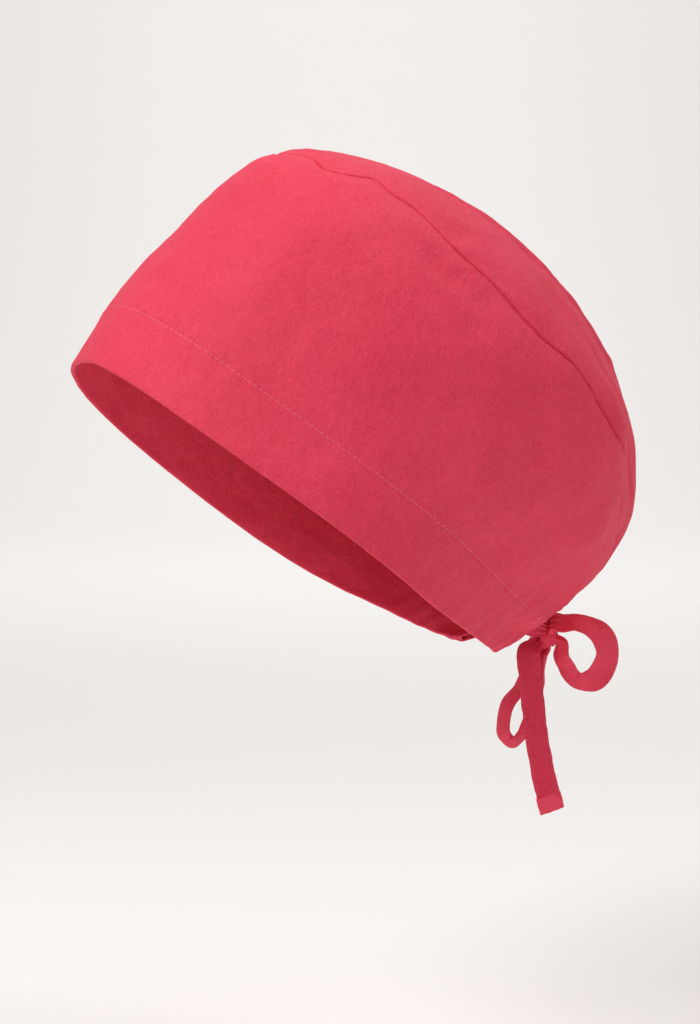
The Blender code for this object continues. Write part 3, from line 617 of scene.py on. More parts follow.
def side_panel(cloth):
    """The side panel's points, faces and UV: outer skin, inner skin, turned hem and the casing's channel."""
    share = column_shares()[:, None]
    top = seam_way(share * END_ANGLE_STITCH)
    lean = seam_lean(share * END_ANGLE_STITCH)
    ones = np.ones_like(share)
    even = np.linspace(0.0, 1.0, HEM_ROWS)[None, :-3]
    close = np.array((0.0030, 0.0016, 0.0009, 0.0005, 0.0))[None, :] / SIDE_LENGTH
    hem = np.concatenate((even * (STITCH_WAY - 0.0045 / SIDE_LENGTH) * ones, STITCH_WAY - close * ones), 1)
    sewn = STITCH_WAY + np.array((0.0005, 0.0010, 0.0020))[None, :] / SIDE_LENGTH * ones
    squeeze = np.minimum(1.0, (top - SEWN_WAY) * lean * 60)
    edge = np.array(SEAM_ROWS)[None, ::-1] / SIDE_LENGTH / lean * squeeze
    rows = np.linspace(0.0, 1.0, UPPER_ROWS)[None, 1:]
    upper = SEWN_WAY + (top - edge[:, :1] * 1.25 - SEWN_WAY) * rows
    upper = np.concatenate((upper, top - edge), 1)
    few = np.linspace(0.0, 1.0, INNER_ROWS)[None, 1:-1]
    inner = np.concatenate((SEWN_WAY + (top - SEWN_WAY) * few, top - edge[:, ::3] * 0.999, top), 1)

    def at(ways, depth):
        angle = share * end_angle(ways)
        return skin(angle, ways, depth + 0 * ways, False, (top - ways) * lean * SIDE_LENGTH)

    def inner_depth(ways):
        return 2 * cloth + slot_width(share * end_angle(ways), ways)

    outer_ways = np.concatenate((hem, sewn, upper), 1)
    layer_ways = np.concatenate((sewn[:, -1:], hem[:, ::-1]), 1)
    outer = at(outer_ways, 0.0)
    inward = at(inner[:, ::-1], cloth)
    wall_sewn = at(sewn[:, -1:], cloth)
    layer = at(layer_ways, inner_depth(layer_ways))
    foot_out = outer[:, :1]
    foot_in = layer[:, -1:]
    middle = (foot_out + foot_in) / 2
    radius = (foot_out - foot_in) / 2
    down = unit(foot_out - outer[:, 1:2]) * np.linalg.norm(radius, axis=-1, keepdims=True)
    turn = math.pi * np.arange(1, FOLD_STEPS + 1)[None, :, None] / (FOLD_STEPS + 1)
    fold = middle - radius * np.cos(turn) + down * np.sin(turn)
    channel = np.concatenate((at(hem, cloth), at(hem[:, ::-1], inner_depth(hem[:, ::-1]) - cloth)), 1)
    loops = np.concatenate((outer, inward, wall_sewn, layer, fold), 1)

    def flat(ways, turned):
        u = share * 0.300 + 0 * ways
        v = np.where(turned, -0.004 - ways * SIDE_LENGTH, ways * SIDE_LENGTH)
        return np.stack((u, v), -1)

    fold_v = -0.004 * np.arange(FOLD_STEPS, 0, -1)[None, :] / (FOLD_STEPS + 1) * ones
    fold_uv = np.stack((share * 0.300 + 0 * fold_v, fold_v), -1)
    parts = (flat(outer_ways, False), flat(inner[:, ::-1], False), flat(sewn[:, -1:], False))
    loops_uv = np.concatenate(parts + (flat(layer_ways, True), fold_uv), 1)
    channel_uv = np.concatenate((flat(hem, False), flat(hem[:, ::-1], True)), 1)

    columns = SIDE_COLUMNS + 1
    around = loops.shape[1]
    inside = channel.shape[1]
    points = np.concatenate((loops.reshape(-1, 3), channel.reshape(-1, 3)))
    uv = np.concatenate((loops_uv.reshape(-1, 2), channel_uv.reshape(-1, 2)))
    faces = grid_faces(columns, around, 0, True)
    faces += grid_faces(columns, inside, columns * around, True)

    hems = hem.shape[1]
    outs = outer_ways.shape[1]
    joins = sewn.shape[1]
    ins = inward.shape[1]
    for column in (0, SIDE_COLUMNS):
        o = column * around
        c = columns * around + column * inside
        wall = o + outs + ins
        layer_start = wall + 1
        layer_foot = layer_start + hems
        faces += [(o + k, o + k + 1, c + k + 1, c + k) for k in range(hems - 1)]
        deep = c + hems
        lining = layer_start + 1
        faces += [(deep + k, deep + k + 1, lining + k + 1, lining + k) for k in range(hems - 1)]
        faces.append([o + hems - 1 + k for k in range(joins + 1)] + [wall, c + hems - 1])
        faces.append((c + hems - 1, wall, layer_start, layer_start + 1, c + hems))
        wall_edge = [o + hems - 1 + joins + k for k in range(outs - hems - joins + 1)]
        faces.append(wall_edge + [o + outs + k for k in range(ins)] + [wall])
        folds = [layer_foot + 1 + k for k in range(FOLD_STEPS)]
        faces.append([layer_foot] + folds + [o, c, c + inside - 1])
    return points, faces, uv


def crown_outline():
    """The crown panel's edge, from the forehead's middle round the left side to the nape's middle."""
    angle = column_shares()[SIDE_COLUMNS // 2 :] * END_ANGLE_STITCH
    way = seam_way(angle)
    rest = np.arange(1, CROWN_END_COLUMNS + 1) / CROWN_END_COLUMNS
    last_angle = angle[-1] + (math.pi - angle[-1]) * rest
    last_way = way[-1] + (CROWN_END_WAY - way[-1]) * ease(rest * 1.5)
    seam = np.concatenate((np.ones(len(angle)), np.zeros(len(rest))))
    return np.concatenate((angle, last_angle)), np.concatenate((way, last_way)), seam


def crown_panel(cloth):
    """The crown panel's points, faces and UV, in rows that follow its edge in to its spine."""
    angle, way, seam = crown_outline()
    hand = np.concatenate((np.ones(len(angle)), -np.ones(len(angle) - 2)))
    angle = np.concatenate((angle, angle[-2:0:-1]))
    way = np.concatenate((way, way[-2:0:-1]))
    seam = np.concatenate((seam, seam[-2:0:-1]))
    back, left = disc_place(angle, way)
    left = left * hand
    spine = np.clip(back, SPINE_FRONT, SPINE_BACK)
    breadth = np.hypot(back - spine, left) * SIDE_LENGTH * 0.9
    near = np.array(SEAM_ROWS)[None, :] / np.maximum(breadth, 0.012)[:, None]
    shells = []
    flats = []
    counts = []
    for depth, rows in ((0.0, CROWN_ROWS), (cloth, CROWN_INNER_ROWS)):
        start = near[:, -1:] * 1.25
        shares = np.concatenate((near, start + (1 - start) * np.linspace(0.0, 1.0, rows)[None, :]), 1)
        here = disc_point(back[:, None] + (spine - back)[:, None] * shares, left[:, None] * (1 - shares))
        distance = shares * breadth[:, None] + (1 - seam)[:, None] * 0.02
        points = skin(here[0], here[1], depth + 0 * shares, True, distance)
        shells.append(points)
        ring = 1 - here[1]
        flat = np.stack((ring * np.sin(here[0]), -ring * np.cos(here[0])), -1) * SIDE_LENGTH
        flats.append(flat)
        counts.append(shares.shape[1])
    total = len(angle)
    points = np.concatenate([shell.reshape(-1, 3) for shell in shells])
    uv = np.concatenate([flat.reshape(-1, 2) for flat in flats])
    faces = []
    for start, count in ((0, counts[0]), (total * counts[0], counts[1])):
        for k in range(total):
            a = start + k * count
            b = start + (k + 1) % total * count
            faces += [(a + r, b + r, b + r + 1, a + r + 1) for r in range(count - 1)]
    for k in range(total):
        after = (k + 1) % total
        a = total * counts[0]
        faces.append((k * counts[0], a + k * counts[1], a + after * counts[1], after * counts[0]))
    return points, faces, uv


def strip_section(count):
    """A flat strip's section, as shares of half its width and thickness, with rounded edges."""
    across = np.cos(np.linspace(0.0, math.pi, count))
    across = np.sign(across) * np.abs(across) ** 0.75
    round_off = np.sqrt(np.maximum(0.0, 1 - np.abs(across) ** 7))
    top = np.stack((across, round_off), -1)
    low = np.stack((across[::-1], -round_off[::-1]), -1)[1:-1]
    return np.concatenate((top, low))


def tube_faces(rows, around):
    """A tube's faces with both of its ends closed."""
    faces = grid_faces(rows, around, 0, True)
    faces.append(list(range(around)))
    faces.append([(rows - 1) * around + k for k in range(around)][::-1])
    return faces


def seam_allowance(cloth):
    """The sewn edges of both panels inside the cap, pressed down together under the seam."""
    angle = column_shares() * END_ANGLE_STITCH * 0.985
    top = seam_way(angle)
    room = np.minimum(ALLOWANCE_WIDTH, (top - SEWN_WAY) * SIDE_LENGTH - 0.0012)
    section = strip_section(9)
    down = (0.5 - section[:, 0] / 2)[None, :] * room[:, None] - 0.0002
    ways = top[:, None] - down / SIDE_LENGTH
    wave = rumple(np.stack((angle * 0.08, ways[:, 0], angle * 0), -1), 0.008, 9)[:, None] * 0.0003
    depth = cloth + 0.0008 + wave * down / 0.008 - section[None, :, 1] * ALLOWANCE_THICK / 2
    angles = angle[:, None] + 0 * ways
    points = plain_point(angles, ways)
    height = relief(angles, ways, False) - SEAM_DIP * bell(down, SEAM_DIP_REACH) - depth - 0.0003
    points = points + height[..., None] * plain_normal(angles, ways)
    uv = np.stack((angles * 0.1, ways * SIDE_LENGTH), -1)
    return points.reshape(-1, 3), tube_faces(len(angle), len(section)), uv.reshape(-1, 2)


def bow_directions():
    """The bow's own frame: out to the back and left, up, and near, on the wearer's left."""
    out = np.array((math.cos(BOW_TURN), math.sin(BOW_TURN), 0.0))
    near = np.array((math.sin(BOW_TURN), -math.cos(BOW_TURN), 0.0))
    return np.stack((out, (0.0, 0.0, 1.0), near))


def knot_exit_towards(direction):
    """The place and the outward direction of the knot's skin on one side of it."""
    halves = np.array(KNOT_SIZE) / 2
    ray = unit(direction)
    place = ray / np.sqrt(((ray / halves) ** 2).sum())
    return KNOT_MIDDLE + place, unit(place / halves**2)


def ribbon_route(table, first, last=None):
    """A ribbon's points and crossings, which start inside the knot and come back into it for a loop."""
    rows = np.array(table)
    split = RIBBON_COLUMNS.index("across_out")
    points = KNOT_MIDDLE + rows[:, :split] @ bow_directions() * BOW_REACH
    crossings = rows[:, split:] @ bow_directions()
    start, away = knot_exit_towards(np.array(KNOT_EXITS[first]) @ bow_directions())
    points = np.concatenate(((start - away * KNOT_TUCK, start + away * LOOP_STUB), points))
    crossings = np.concatenate((crossings[:1], crossings[:1], crossings))
    if last:
        finish, back = knot_exit_towards(np.array(KNOT_EXITS[last]) @ bow_directions())
        points = np.concatenate((points, (finish + back * LOOP_STUB, finish - back * KNOT_TUCK)))
        crossings = np.concatenate((crossings, crossings[-1:], crossings[-1:]))
    return points, crossings


def ribbon(points, crossings, options):
    """A folded and topstitched ribbon along a route, with its edge lines for the stitching."""
    lengths = path_lengths(points)
    total = lengths[-1]
    start = total - options.get("last", total)
    rows = options["rows"]
    places = np.linspace(start, total, rows)
    here = smooth_path(lengths, points, places)
    ahead = smooth_path(lengths, points, np.minimum(places + 0.0004, total))
    ahead = unit(ahead - smooth_path(lengths, points, np.maximum(places - 0.0004, 0.0)))
    across = smooth_path(lengths, crossings, places)
    across = unit(across - ahead * (across * ahead).sum(1, keepdims=True))
    face = unit(np.cross(ahead, across))
    reach = min(TIE_DRAWN_REACH, total * 0.45)
    drawn = np.zeros(rows)
    if options["drawn_start"]:
        drawn = 1 - ease((places - 0.002) / reach)
    if options["drawn_end"]:
        drawn = np.maximum(drawn, 1 - ease((total - 0.002 - places) / reach))
    narrow = np.where(places < total / 2, options["first_width"], TIE_DRAWN_WIDTH)
    width = options["width"] + (narrow - options["width"]) * drawn
    thick = options["thick"] + (TIE_DRAWN_THICK - options["thick"]) * drawn
    seed = options["seed"]
    section = strip_section(RIBBON_EDGE_POINTS)
    s = section[None, :, 0]
    side = np.where(section[None, :, 1] >= 0, 1.0, -1.0)
    line = np.stack((places, places * 0, places * 0), -1)
    edge = rumple(line, 0.006, seed)[:, None] * 0.00018 + rumple(line, 0.0022, seed + 1)[:, None] * 0.00006
    run = places[:, None] + 0 * s
    sheet = np.stack((run, s * 0.005 + 0 * run, 0 * run), -1)
    bend = rumple(sheet, 0.009, seed + 2) * 0.00030 + rumple(sheet, 0.0032, seed + 3) * 0.00009
    drawn = drawn[:, None]
    depth = section[None, :, 1] * thick[:, None] / 2 + bend * (1 - 0.3 * drawn)
    depth = depth + options["camber"] * (s * s - 0.4)
    depth = depth - TOPSTITCH_GROOVE * bell(np.abs(s) - TOPSTITCH_PLACE, 0.035) * side * (1 - drawn)
    depth = depth + 0.00009 * bell(np.abs(s) - 0.93, 0.05) * side * (1 - drawn)
    depth = depth + 0.00055 * np.cos(3.0 * math.pi * s + seed) * drawn
    shift = s * (width[:, None] / 2 + edge)
    frayed = options["frayed"] * rumple(np.stack((s * 2.3, s * 0.0, s * 0.0), -1), 1.0, seed + 4)
    onward = frayed * ((places <= start + 0.0004) | (places >= total - 0.0004))[:, None]
    grid = here[:, None] + across[:, None] * shift[..., None] + face[:, None] * depth[..., None]
    grid = grid + ahead[:, None] * onward[..., None]
    uv = np.stack((run, s * TIE_WIDTH / 2 + 0.02 * side + 0 * run), -1)
    lines = []
    clear = (places > start + 0.006) & (places < total - (0.006 if options["drawn_end"] else 0.0012))
    for place in (-TOPSTITCH_PLACE, TOPSTITCH_PLACE):
        for top in (1, -1):
            column = np.argmin(np.abs(section[:, 0] - place) + (np.sign(section[:, 1]) != top) * 9)
            lines.append((grid[clear, column], face[clear] * top))
    faces = tube_faces(rows, len(section))
    return grid.reshape(-1, 3), faces, uv.reshape(-1, 2), lines, float(places[-1] - places[0])


def knot_wrap():
    """The turn of the tie that holds the bow: a pleated band round the knot."""
    out, up, near = bow_directions()
    axis = unit(out + 0.22 * up - 0.10 * near)
    side = unit(np.cross(axis, up))
    top = np.cross(side, axis)
    rows = 72
    section = strip_section(21)
    turn = np.linspace(0.0, 2 * math.pi, rows, endpoint=False)[:, None]
    s = section[None, :, 0]
    layer = section[None, :, 1]
    place = np.stack((np.cos(turn) + 0 * s, np.sin(turn) + 0 * s, s * 1.2 + 0 * turn), -1)
    pleat = 0.00038 * np.cos(math.pi * 3.2 * s + 0.5 * np.sin(turn)) * (layer > 0)
    width = WRAP_HALF_WIDTH + 0.0004 * np.cos(turn * 2 + 0.6)
    radius = WRAP_RADIUS + 0.0009 * layer + pleat - 0.0011 * s * s + 0.00035 * rumple(place, 0.9, 21)
    round_way = np.cos(turn)[..., None] * side + 1.08 * np.sin(turn)[..., None] * top
    skew = 0.0008 * np.sin(turn)
    grid = KNOT_MIDDLE + round_way * radius[..., None] + axis * (s * width + skew)[..., None]
    uv = np.stack((turn * 0.0055 + 0 * s, s * WRAP_HALF_WIDTH + 0.02 * layer + 0 * turn), -1)
    faces = []
    around = len(section)
    for k in range(rows):
        a = k * around
        b = (k + 1) % rows * around
        faces += [(a + r, b + r, b + (r + 1) % around, a + (r + 1) % around) for r in range(around)]
    return grid.reshape(-1, 3), faces, uv.reshape(-1, 2)


def knot_core():
    """The crushed cloth inside the knot, gathered into pleats."""
    rings = 30
    around = 60
    lean = math.pi * np.arange(1, rings)[:, None] / rings
    turn = 2 * math.pi * np.arange(around)[None, :] / around
    way = np.stack((np.sin(lean) * np.cos(turn), np.sin(lean) * np.sin(turn), np.cos(lean) + 0 * turn), -1)
    press = 0.90 + 0.07 * rumple(way, 0.45, 31) + 0.035 * np.cos(9 * turn + 3 * lean)
    body = KNOT_MIDDLE + way * press[..., None] * np.array(KNOT_SIZE) / 2
    poles = KNOT_MIDDLE + np.array(((0, 0, 0.9), (0, 0, -0.9))) * np.array(KNOT_SIZE) / 2
    points = np.concatenate((body.reshape(-1, 3), poles))
    faces = grid_faces(rings - 1, around, 0, True)
    last = (rings - 2) * around
    for k in range(around):
        after = (k + 1) % around
        faces.append((len(points) - 2, k, after))
        faces.append((len(points) - 1, last + after, last + k))
    uv = np.stack((way[..., 0] * 0.006, way[..., 2] * 0.006), -1).reshape(-1, 2)
    return points, faces, np.concatenate((uv, np.zeros((2, 2))))


def lead_route(hand, cloth):
    """The tie's way out of the casing's mouth and into the knot on one side."""
    mouth = float(end_angle(LEAD_WAY))
    angles = np.array((mouth - LEAD_TUCK / (HEM_BREADTH / 2), mouth - 0.02, mouth)) * hand
    ways = np.full(3, LEAD_WAY)
    height = relief(angles, ways, False) - cloth - slot_width(angles, ways) / 2
    tucked = plain_point(angles, ways) + height[:, None] * plain_normal(angles, ways)
    higher = plain_point(angles, ways + 0.01)
    across = unit(higher - plain_point(angles, ways))
    finish, away = knot_exit_towards(np.array((hand * 0.80, -0.70, 0.40)))
    onward = unit(tucked[2] - tucked[0])
    free = tucked[2] + onward * 0.0022 + ALONG * 0.0008
    free = np.stack((free, finish + away * KNOT_TUCK, finish - away * 0.0020))
    upright = unit(RISE + np.array((0.0, 0.0, 0.4)))
    return np.concatenate((tucked, free)), np.concatenate((across, [upright] * 3))


def linear(colour):
    """A colour written as sRGB hex, as the linear values that shaders use."""
    parts = [int(colour[k : k + 2], 16) / 255 for k in (1, 3, 5)]
    return tuple(p / 12.92 if p <= 0.04045 else ((p + 0.055) / 1.055) ** 2.4 for p in parts)


def add_node(tree, kind, inputs=None, **settings):
    """Adds a node with its settings. An input given a socket is linked, and one given a value is set."""
    node = tree.nodes.new(kind)
    for name, value in settings.items():
        setattr(node, name, value)
    for name, value in (inputs or {}).items():
        if isinstance(value, bpy.types.NodeSocket):
            tree.links.new(value, node.inputs[name])
        else:
            node.inputs[name].default_value = value
    return node


def new_material(name, values):
    """A material whose shader has the given values, with its tree and shader."""
    material = bpy.data.materials.new(name)
    material.use_nodes = True
    shader = material.node_tree.nodes["Principled BSDF"]
    for key, value in values.items():
        shader.inputs[key].default_value = value
    return material, material.node_tree, shader


def cotton(name, colour, deep, pale, grain):
    """Washed, brushed cotton: matt, with a napped grain, a faint twill, specks, and a bloom in side light."""
    finish = {"Roughness": 0.66, "Specular IOR Level": 0.20, "Sheen Weight": 0.02, "Sheen Roughness": 0.40}
    material, tree, shader = new_material(name, dict(finish, **{"Sheen Tint": (*pale, 1.0)}))
    places = add_node(tree, "ShaderNodeTexCoord")
    spot = places.outputs["Object"]
    # Real yarns lie about 0.25 mm apart, too fine to show, so the grain is drawn about twice as coarse
    inputs = {"Vector": spot, "Scale": 1.0 / grain, "Detail": 3.0, "Roughness": 0.6}
    nap = add_node(tree, "ShaderNodeTexNoise", inputs)
    inputs = {"Vector": places.outputs["UV"], "Rotation": (0.0, 0.0, 0.9), "Scale": (1.0, 0.16, 1.0)}
    slanted = add_node(tree, "ShaderNodeMapping", inputs)
    inputs = {"Vector": slanted.outputs[0], "Scale": 0.9 / grain, "Detail": 2.0}
    twill = add_node(tree, "ShaderNodeTexNoise", inputs)
    cloud = add_node(tree, "ShaderNodeTexNoise", {"Vector": spot, "Scale": 1.0 / CLOUD_SIZE, "Detail": 3.0})
    inputs = {"Vector": spot, "Scale": 1.0 / CREPE_SIZE, "Detail": 3.0, "Distortion": 0.6}
    crepe = add_node(tree, "ShaderNodeTexNoise", inputs)
    level = nap.outputs["Fac"]
    for pattern, share in ((twill, 0.28), (cloud, 0.30), (crepe, 0.25)):
        inputs = {0: pattern.outputs["Fac"], 1: share, 2: level}
        level = add_node(tree, "ShaderNodeMath", inputs, operation="MULTIPLY_ADD").outputs[0]
    ramp = add_node(tree, "ShaderNodeMapRange", {"Value": level, "From Min": 0.66, "From Max": 1.16})
    inputs = {"Factor": ramp.outputs[0], 6: (*deep, 1.0), 7: (*colour, 1.0)}
    tone = add_node(tree, "ShaderNodeMix", inputs, data_type="RGBA")
    # A few slubs and lint specks, each under half a millimetre, in one cell of five
    cells = add_node(tree, "ShaderNodeTexVoronoi", {"Vector": spot, "Scale": 1.0 / SPECK_SPACING})
    chance = add_node(tree, "ShaderNodeSeparateXYZ", {0: cells.outputs["Color"]})
    inputs = {0: chance.outputs["X"], 1: 1.0 - SPECK_SHARE}
    rare = add_node(tree, "ShaderNodeMath", inputs, operation="GREATER_THAN")
    rim = SPECK_SIZE / SPECK_SPACING
    inputs = {"Value": cells.outputs["Distance"], "From Min": rim, "From Max": rim / 2}
    speck = add_node(tree, "ShaderNodeMapRange", inputs)
    for share in (rare.outputs[0], 0.40):
        speck = add_node(tree, "ShaderNodeMath", {0: speck.outputs[0], 1: share}, operation="MULTIPLY")
    dark = (*(part * 0.35 for part in deep), 1.0)
    inputs = {"Factor": speck.outputs[0], 6: tone.outputs[2], 7: dark}
    dotted = add_node(tree, "ShaderNodeMix", inputs, data_type="RGBA")
    tree.links.new(dotted.outputs[2], shader.inputs["Base Color"])
    inputs = {"Strength": 0.55, "Distance": 0.0008, "Height": crepe.outputs["Fac"]}
    soft = add_node(tree, "ShaderNodeBump", inputs)
    inputs = {0: twill.outputs["Fac"], 1: 0.35, 2: nap.outputs["Fac"]}
    fuzz = add_node(tree, "ShaderNodeMath", inputs, operation="MULTIPLY_ADD")
    inputs = {"Strength": 0.40, "Distance": 0.00025, "Height": fuzz.outputs[0], "Normal": soft.outputs[0]}
    brushed = add_node(tree, "ShaderNodeBump", inputs)
    tree.links.new(brushed.outputs[0], shader.inputs["Normal"])
    return material


def spun_thread(name, colour, deep):
    """Spun sewing thread: paler than the cloth, with the twist of its plies as slanting stripes."""
    material, tree, shader = new_material(name, {"Roughness": 0.6, "Specular IOR Level": 0.3})
    places = add_node(tree, "ShaderNodeTexCoord")
    # The plies' real pitch is about 0.5 mm, too fine to show, so it is drawn coarser
    inputs = {"Vector": places.outputs["Object"], "Scale": 1.0 / TWIST_PITCH, "Distortion": 2.0}
    twist = add_node(tree, "ShaderNodeTexWave", inputs, bands_direction="DIAGONAL")
    inputs = {"Factor": twist.outputs["Fac"], 6: (*deep, 1.0), 7: (*colour, 1.0)}
    tone = add_node(tree, "ShaderNodeMix", inputs, data_type="RGBA")
    tree.links.new(tone.outputs[2], shader.inputs["Base Color"])
    return material


def seamless_paper(name, colour):
    """Matt seamless paper for the stage: plain, with hardly any shine."""
    values = {"Roughness": 0.95, "Specular IOR Level": 0.1, "Base Color": (*colour, 1.0)}
    return new_material(name, values)[0]


def stitch_tree():
    """Geometry nodes that put one raised stitch on each point, laid along the seam."""
    tree = bpy.data.node_groups.new("Stitches", "GeometryNodeTree")
    sockets = (
        ("Geometry", "INPUT", "NodeSocketGeometry"),
        ("Stitch length", "INPUT", "NodeSocketFloat"),
        ("Thread width", "INPUT", "NodeSocketFloat"),
        ("Thread", "INPUT", "NodeSocketMaterial"),
        ("Geometry", "OUTPUT", "NodeSocketGeometry"),
    )
    for name, way, kind in sockets:
        tree.interface.new_socket(name=name, in_out=way, socket_type=kind)
    given = add_node(tree, "NodeGroupInput")
    named = "GeometryNodeInputNamedAttribute"
    along = add_node(tree, named, {"Name": "along"}, data_type="FLOAT_VECTOR")
    outward = add_node(tree, named, {"Name": "outward"}, data_type="FLOAT_VECTOR")
    inputs = {0: outward.outputs[0], 1: along.outputs[0]}
    turn = add_node(tree, "FunctionNodeAxesToRotation", inputs, primary_axis="Z", secondary_axis="X")
    bead = add_node(tree, "GeometryNodeMeshUVSphere", {"Segments": 8, "Rings": 5, "Radius": 0.5})
    length = given.outputs["Stitch length"]
    width = given.outputs["Thread width"]
    size = add_node(tree, "ShaderNodeCombineXYZ", {"X": length, "Y": width, "Z": width})
    inputs = {"Geometry": bead.outputs["Mesh"], "Scale": size.outputs[0]}
    thread = add_node(tree, "GeometryNodeTransform", inputs)
    inputs = {"Points": given.outputs["Geometry"], "Instance": thread.outputs[0], "Rotation": turn.outputs[0]}
    laid = add_node(tree, "GeometryNodeInstanceOnPoints", inputs)
    real = add_node(tree, "GeometryNodeRealizeInstances", {"Geometry": laid.outputs[0]})
    smooth = add_node(tree, "GeometryNodeSetShadeSmooth", {"Geometry": real.outputs[0]})
    inputs = {"Geometry": smooth.outputs[0], "Material": given.outputs["Thread"]}
    dyed = add_node(tree, "GeometryNodeSetMaterial", inputs)
    add_node(tree, "NodeGroupOutput", {"Geometry": dyed.outputs[0]})
    return tree


def row_of_stitches(path, outward, pitch, jitter):
    """Points at each stitch along a path, with the directions along it and out of the cloth."""
    lengths = path_lengths(path)
    count = max(2, int(lengths[-1] / pitch))
    at = (np.arange(count) + 0.5) * lengths[-1] / count

    def read(values, places):
        return np.stack([np.interp(places, lengths, values[:, k]) for k in range(3)], -1)

    ahead = read(path, np.minimum(at + 0.0006, lengths[-1]))
    along = unit(ahead - read(path, np.maximum(at - 0.0006, 0.0)))
    out = unit(read(outward, at))
    wander = np.sin(np.arange(count) * 12.9898) * jitter
    return read(path, at), unit(along + unit(np.cross(out, along)) * wander[:, None]), out


def stitches(name, rows, length, width, tree, thread):
    """One piece with all the stitches of some rows, made plain from its modifier."""
    middle = np.concatenate([row[0] for row in rows])
    mesh = bpy.data.meshes.new(name)
    mesh.from_pydata([tuple(p) for p in (middle - LIFT).tolist()], [], [])
    for key, k in (("along", 1), ("outward", 2)):
        values = np.concatenate([row[k] for row in rows]).astype(np.float32)
        mesh.attributes.new(key, "FLOAT_VECTOR", "POINT").data.foreach_set("vector", values.ravel())
    piece = bpy.data.objects.new(name, mesh)
    bpy.context.scene.collection.objects.link(piece)
    modifier = piece.modifiers.new("Stitches", "NODES")
    modifier.node_group = tree
    keys = {item.name: item.identifier for item in tree.interface.items_tree if item.in_out == "INPUT"}
    modifier[keys["Stitch length"]] = length
    modifier[keys["Thread width"]] = width
    modifier[keys["Thread"]] = thread
    evaluated = piece.evaluated_get(bpy.context.evaluated_depsgraph_get())
    plain = bpy.data.meshes.new_from_object(evaluated)
    piece.modifiers.clear()
    piece.data = plain
    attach(piece, "root")
    return piece


class CapCloth(bpy.types.PropertyGroup):
    """The cap's cloth."""

    thickness: FloatProperty(
        name="Cloth thickness", description="Thickness of one layer of cotton", default=0.0007, unit="LENGTH"
    )
    grain: FloatProperty(
        name="Grain", description="Size of the napped grain as drawn", default=0.00055, unit="LENGTH"
    )
    colour: FloatVectorProperty(
        name="Cloth colour", description="Dye of the cotton", subtype="COLOR", default=linear("#EC4A64")
    )
    deep: FloatVectorProperty(
        name="Deep colour", description="Dye between the threads", subtype="COLOR", default=linear("#D52D48")
    )
    pale: FloatVectorProperty(
        name="Nap colour", description="Bloom of the nap", subtype="COLOR", default=linear("#FFD9DE")
    )


class CapTie(bpy.types.PropertyGroup):
    """The tie and its bow."""

    rows: IntProperty(name="Steps", description="Divisions along a whole ribbon", default=150, min=40)
    camber: FloatProperty(name="Camber", description="How far the ribbon cups", default=0.0003, unit="LENGTH")


class CapStitching(bpy.types.PropertyGroup):
    """The cap's sewing thread."""

    length: FloatProperty(
        name="Stitch length", description="Length of one stitch", default=0.0025, unit="LENGTH"
    )
    pitch: FloatProperty(
        name="Stitch pitch", description="From one stitch to the next", default=0.0026, unit="LENGTH"
    )
    width: FloatProperty(
        name="Thread width", description="Width of the thread", default=0.00034, unit="LENGTH"
    )
    colour: FloatVectorProperty(
        name="Thread colour", description="Dye of the thread", subtype="COLOR", default=linear("#FB7891")
    )


class CapStage(bpy.types.PropertyGroup):
    """The floor and the light."""

    drop: FloatProperty(name="Floor", description="Height of the floor", default=-0.40, unit="LENGTH")
    paper: FloatVectorProperty(
        name="Paper colour", description="Colour of the floor", subtype="COLOR", default=linear("#F8F6F4")
    )


class ClothOperator:
    """What the operators share: the settings and the cloth materials."""

    bl_options = {"REGISTER", "UNDO"}

    def cloth(self, context, name, painted_light_scale=1.0):
        """The named cloth, made once, with its dye scaled up as painted light or down as painted shade."""
        found = bpy.data.materials.get(name)
        if found:
            return found
        settings = context.scene.cap_cloth
        dyes = []
        # Painted light and shade: a scale above one makes the dye paler, and one below makes it darker
        for dye in (settings.colour, settings.deep):
            dyes.append([min(1.0, part * painted_light_scale + (painted_light_scale - 1) * 0.12) for part in dye])
        return cotton(name, *dyes, settings.pale, settings.grain)

    def thread(self, context):
        """The sewing thread, made once."""
        found = bpy.data.materials.get("spun_thread")
        if found:
            return found
        colour = context.scene.cap_stitching.colour
        return spun_thread("spun_thread", colour, [part * 0.80 for part in colour])


class CAP_OT_side_panel(ClothOperator, bpy.types.Operator):
    """Makes the side panel with its turned hem and casing"""

    bl_idname = "cap.side_panel"
    bl_label = "Side panel"

    def execute(self, context):
        cloth = context.scene.cap_cloth.thickness
        points, faces, uv = side_panel(cloth)
        piece = new_piece("side_cloth", points, faces, self.cloth(context, "poplin_side"), uv)
        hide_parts("side_panel")
        return {"FINISHED"}


class CAP_OT_crown_panel(ClothOperator, bpy.types.Operator):
    """Makes the oval crown panel"""

    bl_idname = "cap.crown_panel"
    bl_label = "Crown panel"

    def execute(self, context):
        cloth = context.scene.cap_cloth.thickness
        points, faces, uv = crown_panel(cloth)
        piece = new_piece("crown_cloth", points, faces, self.cloth(context, "poplin_crown"), uv)
        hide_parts("crown_panel")
        return {"FINISHED"}


class CAP_OT_seam_allowance(ClothOperator, bpy.types.Operator):
    """Makes the sewn edges of the panels inside the cap"""

    bl_idname = "cap.seam_allowance"
    bl_label = "Seam allowance"

    def execute(self, context):
        points, faces, uv = seam_allowance(context.scene.cap_cloth.thickness)
        piece = new_piece("seam_allowance", points, faces, self.cloth(context, "poplin_side"), uv)
        return {"FINISHED"}


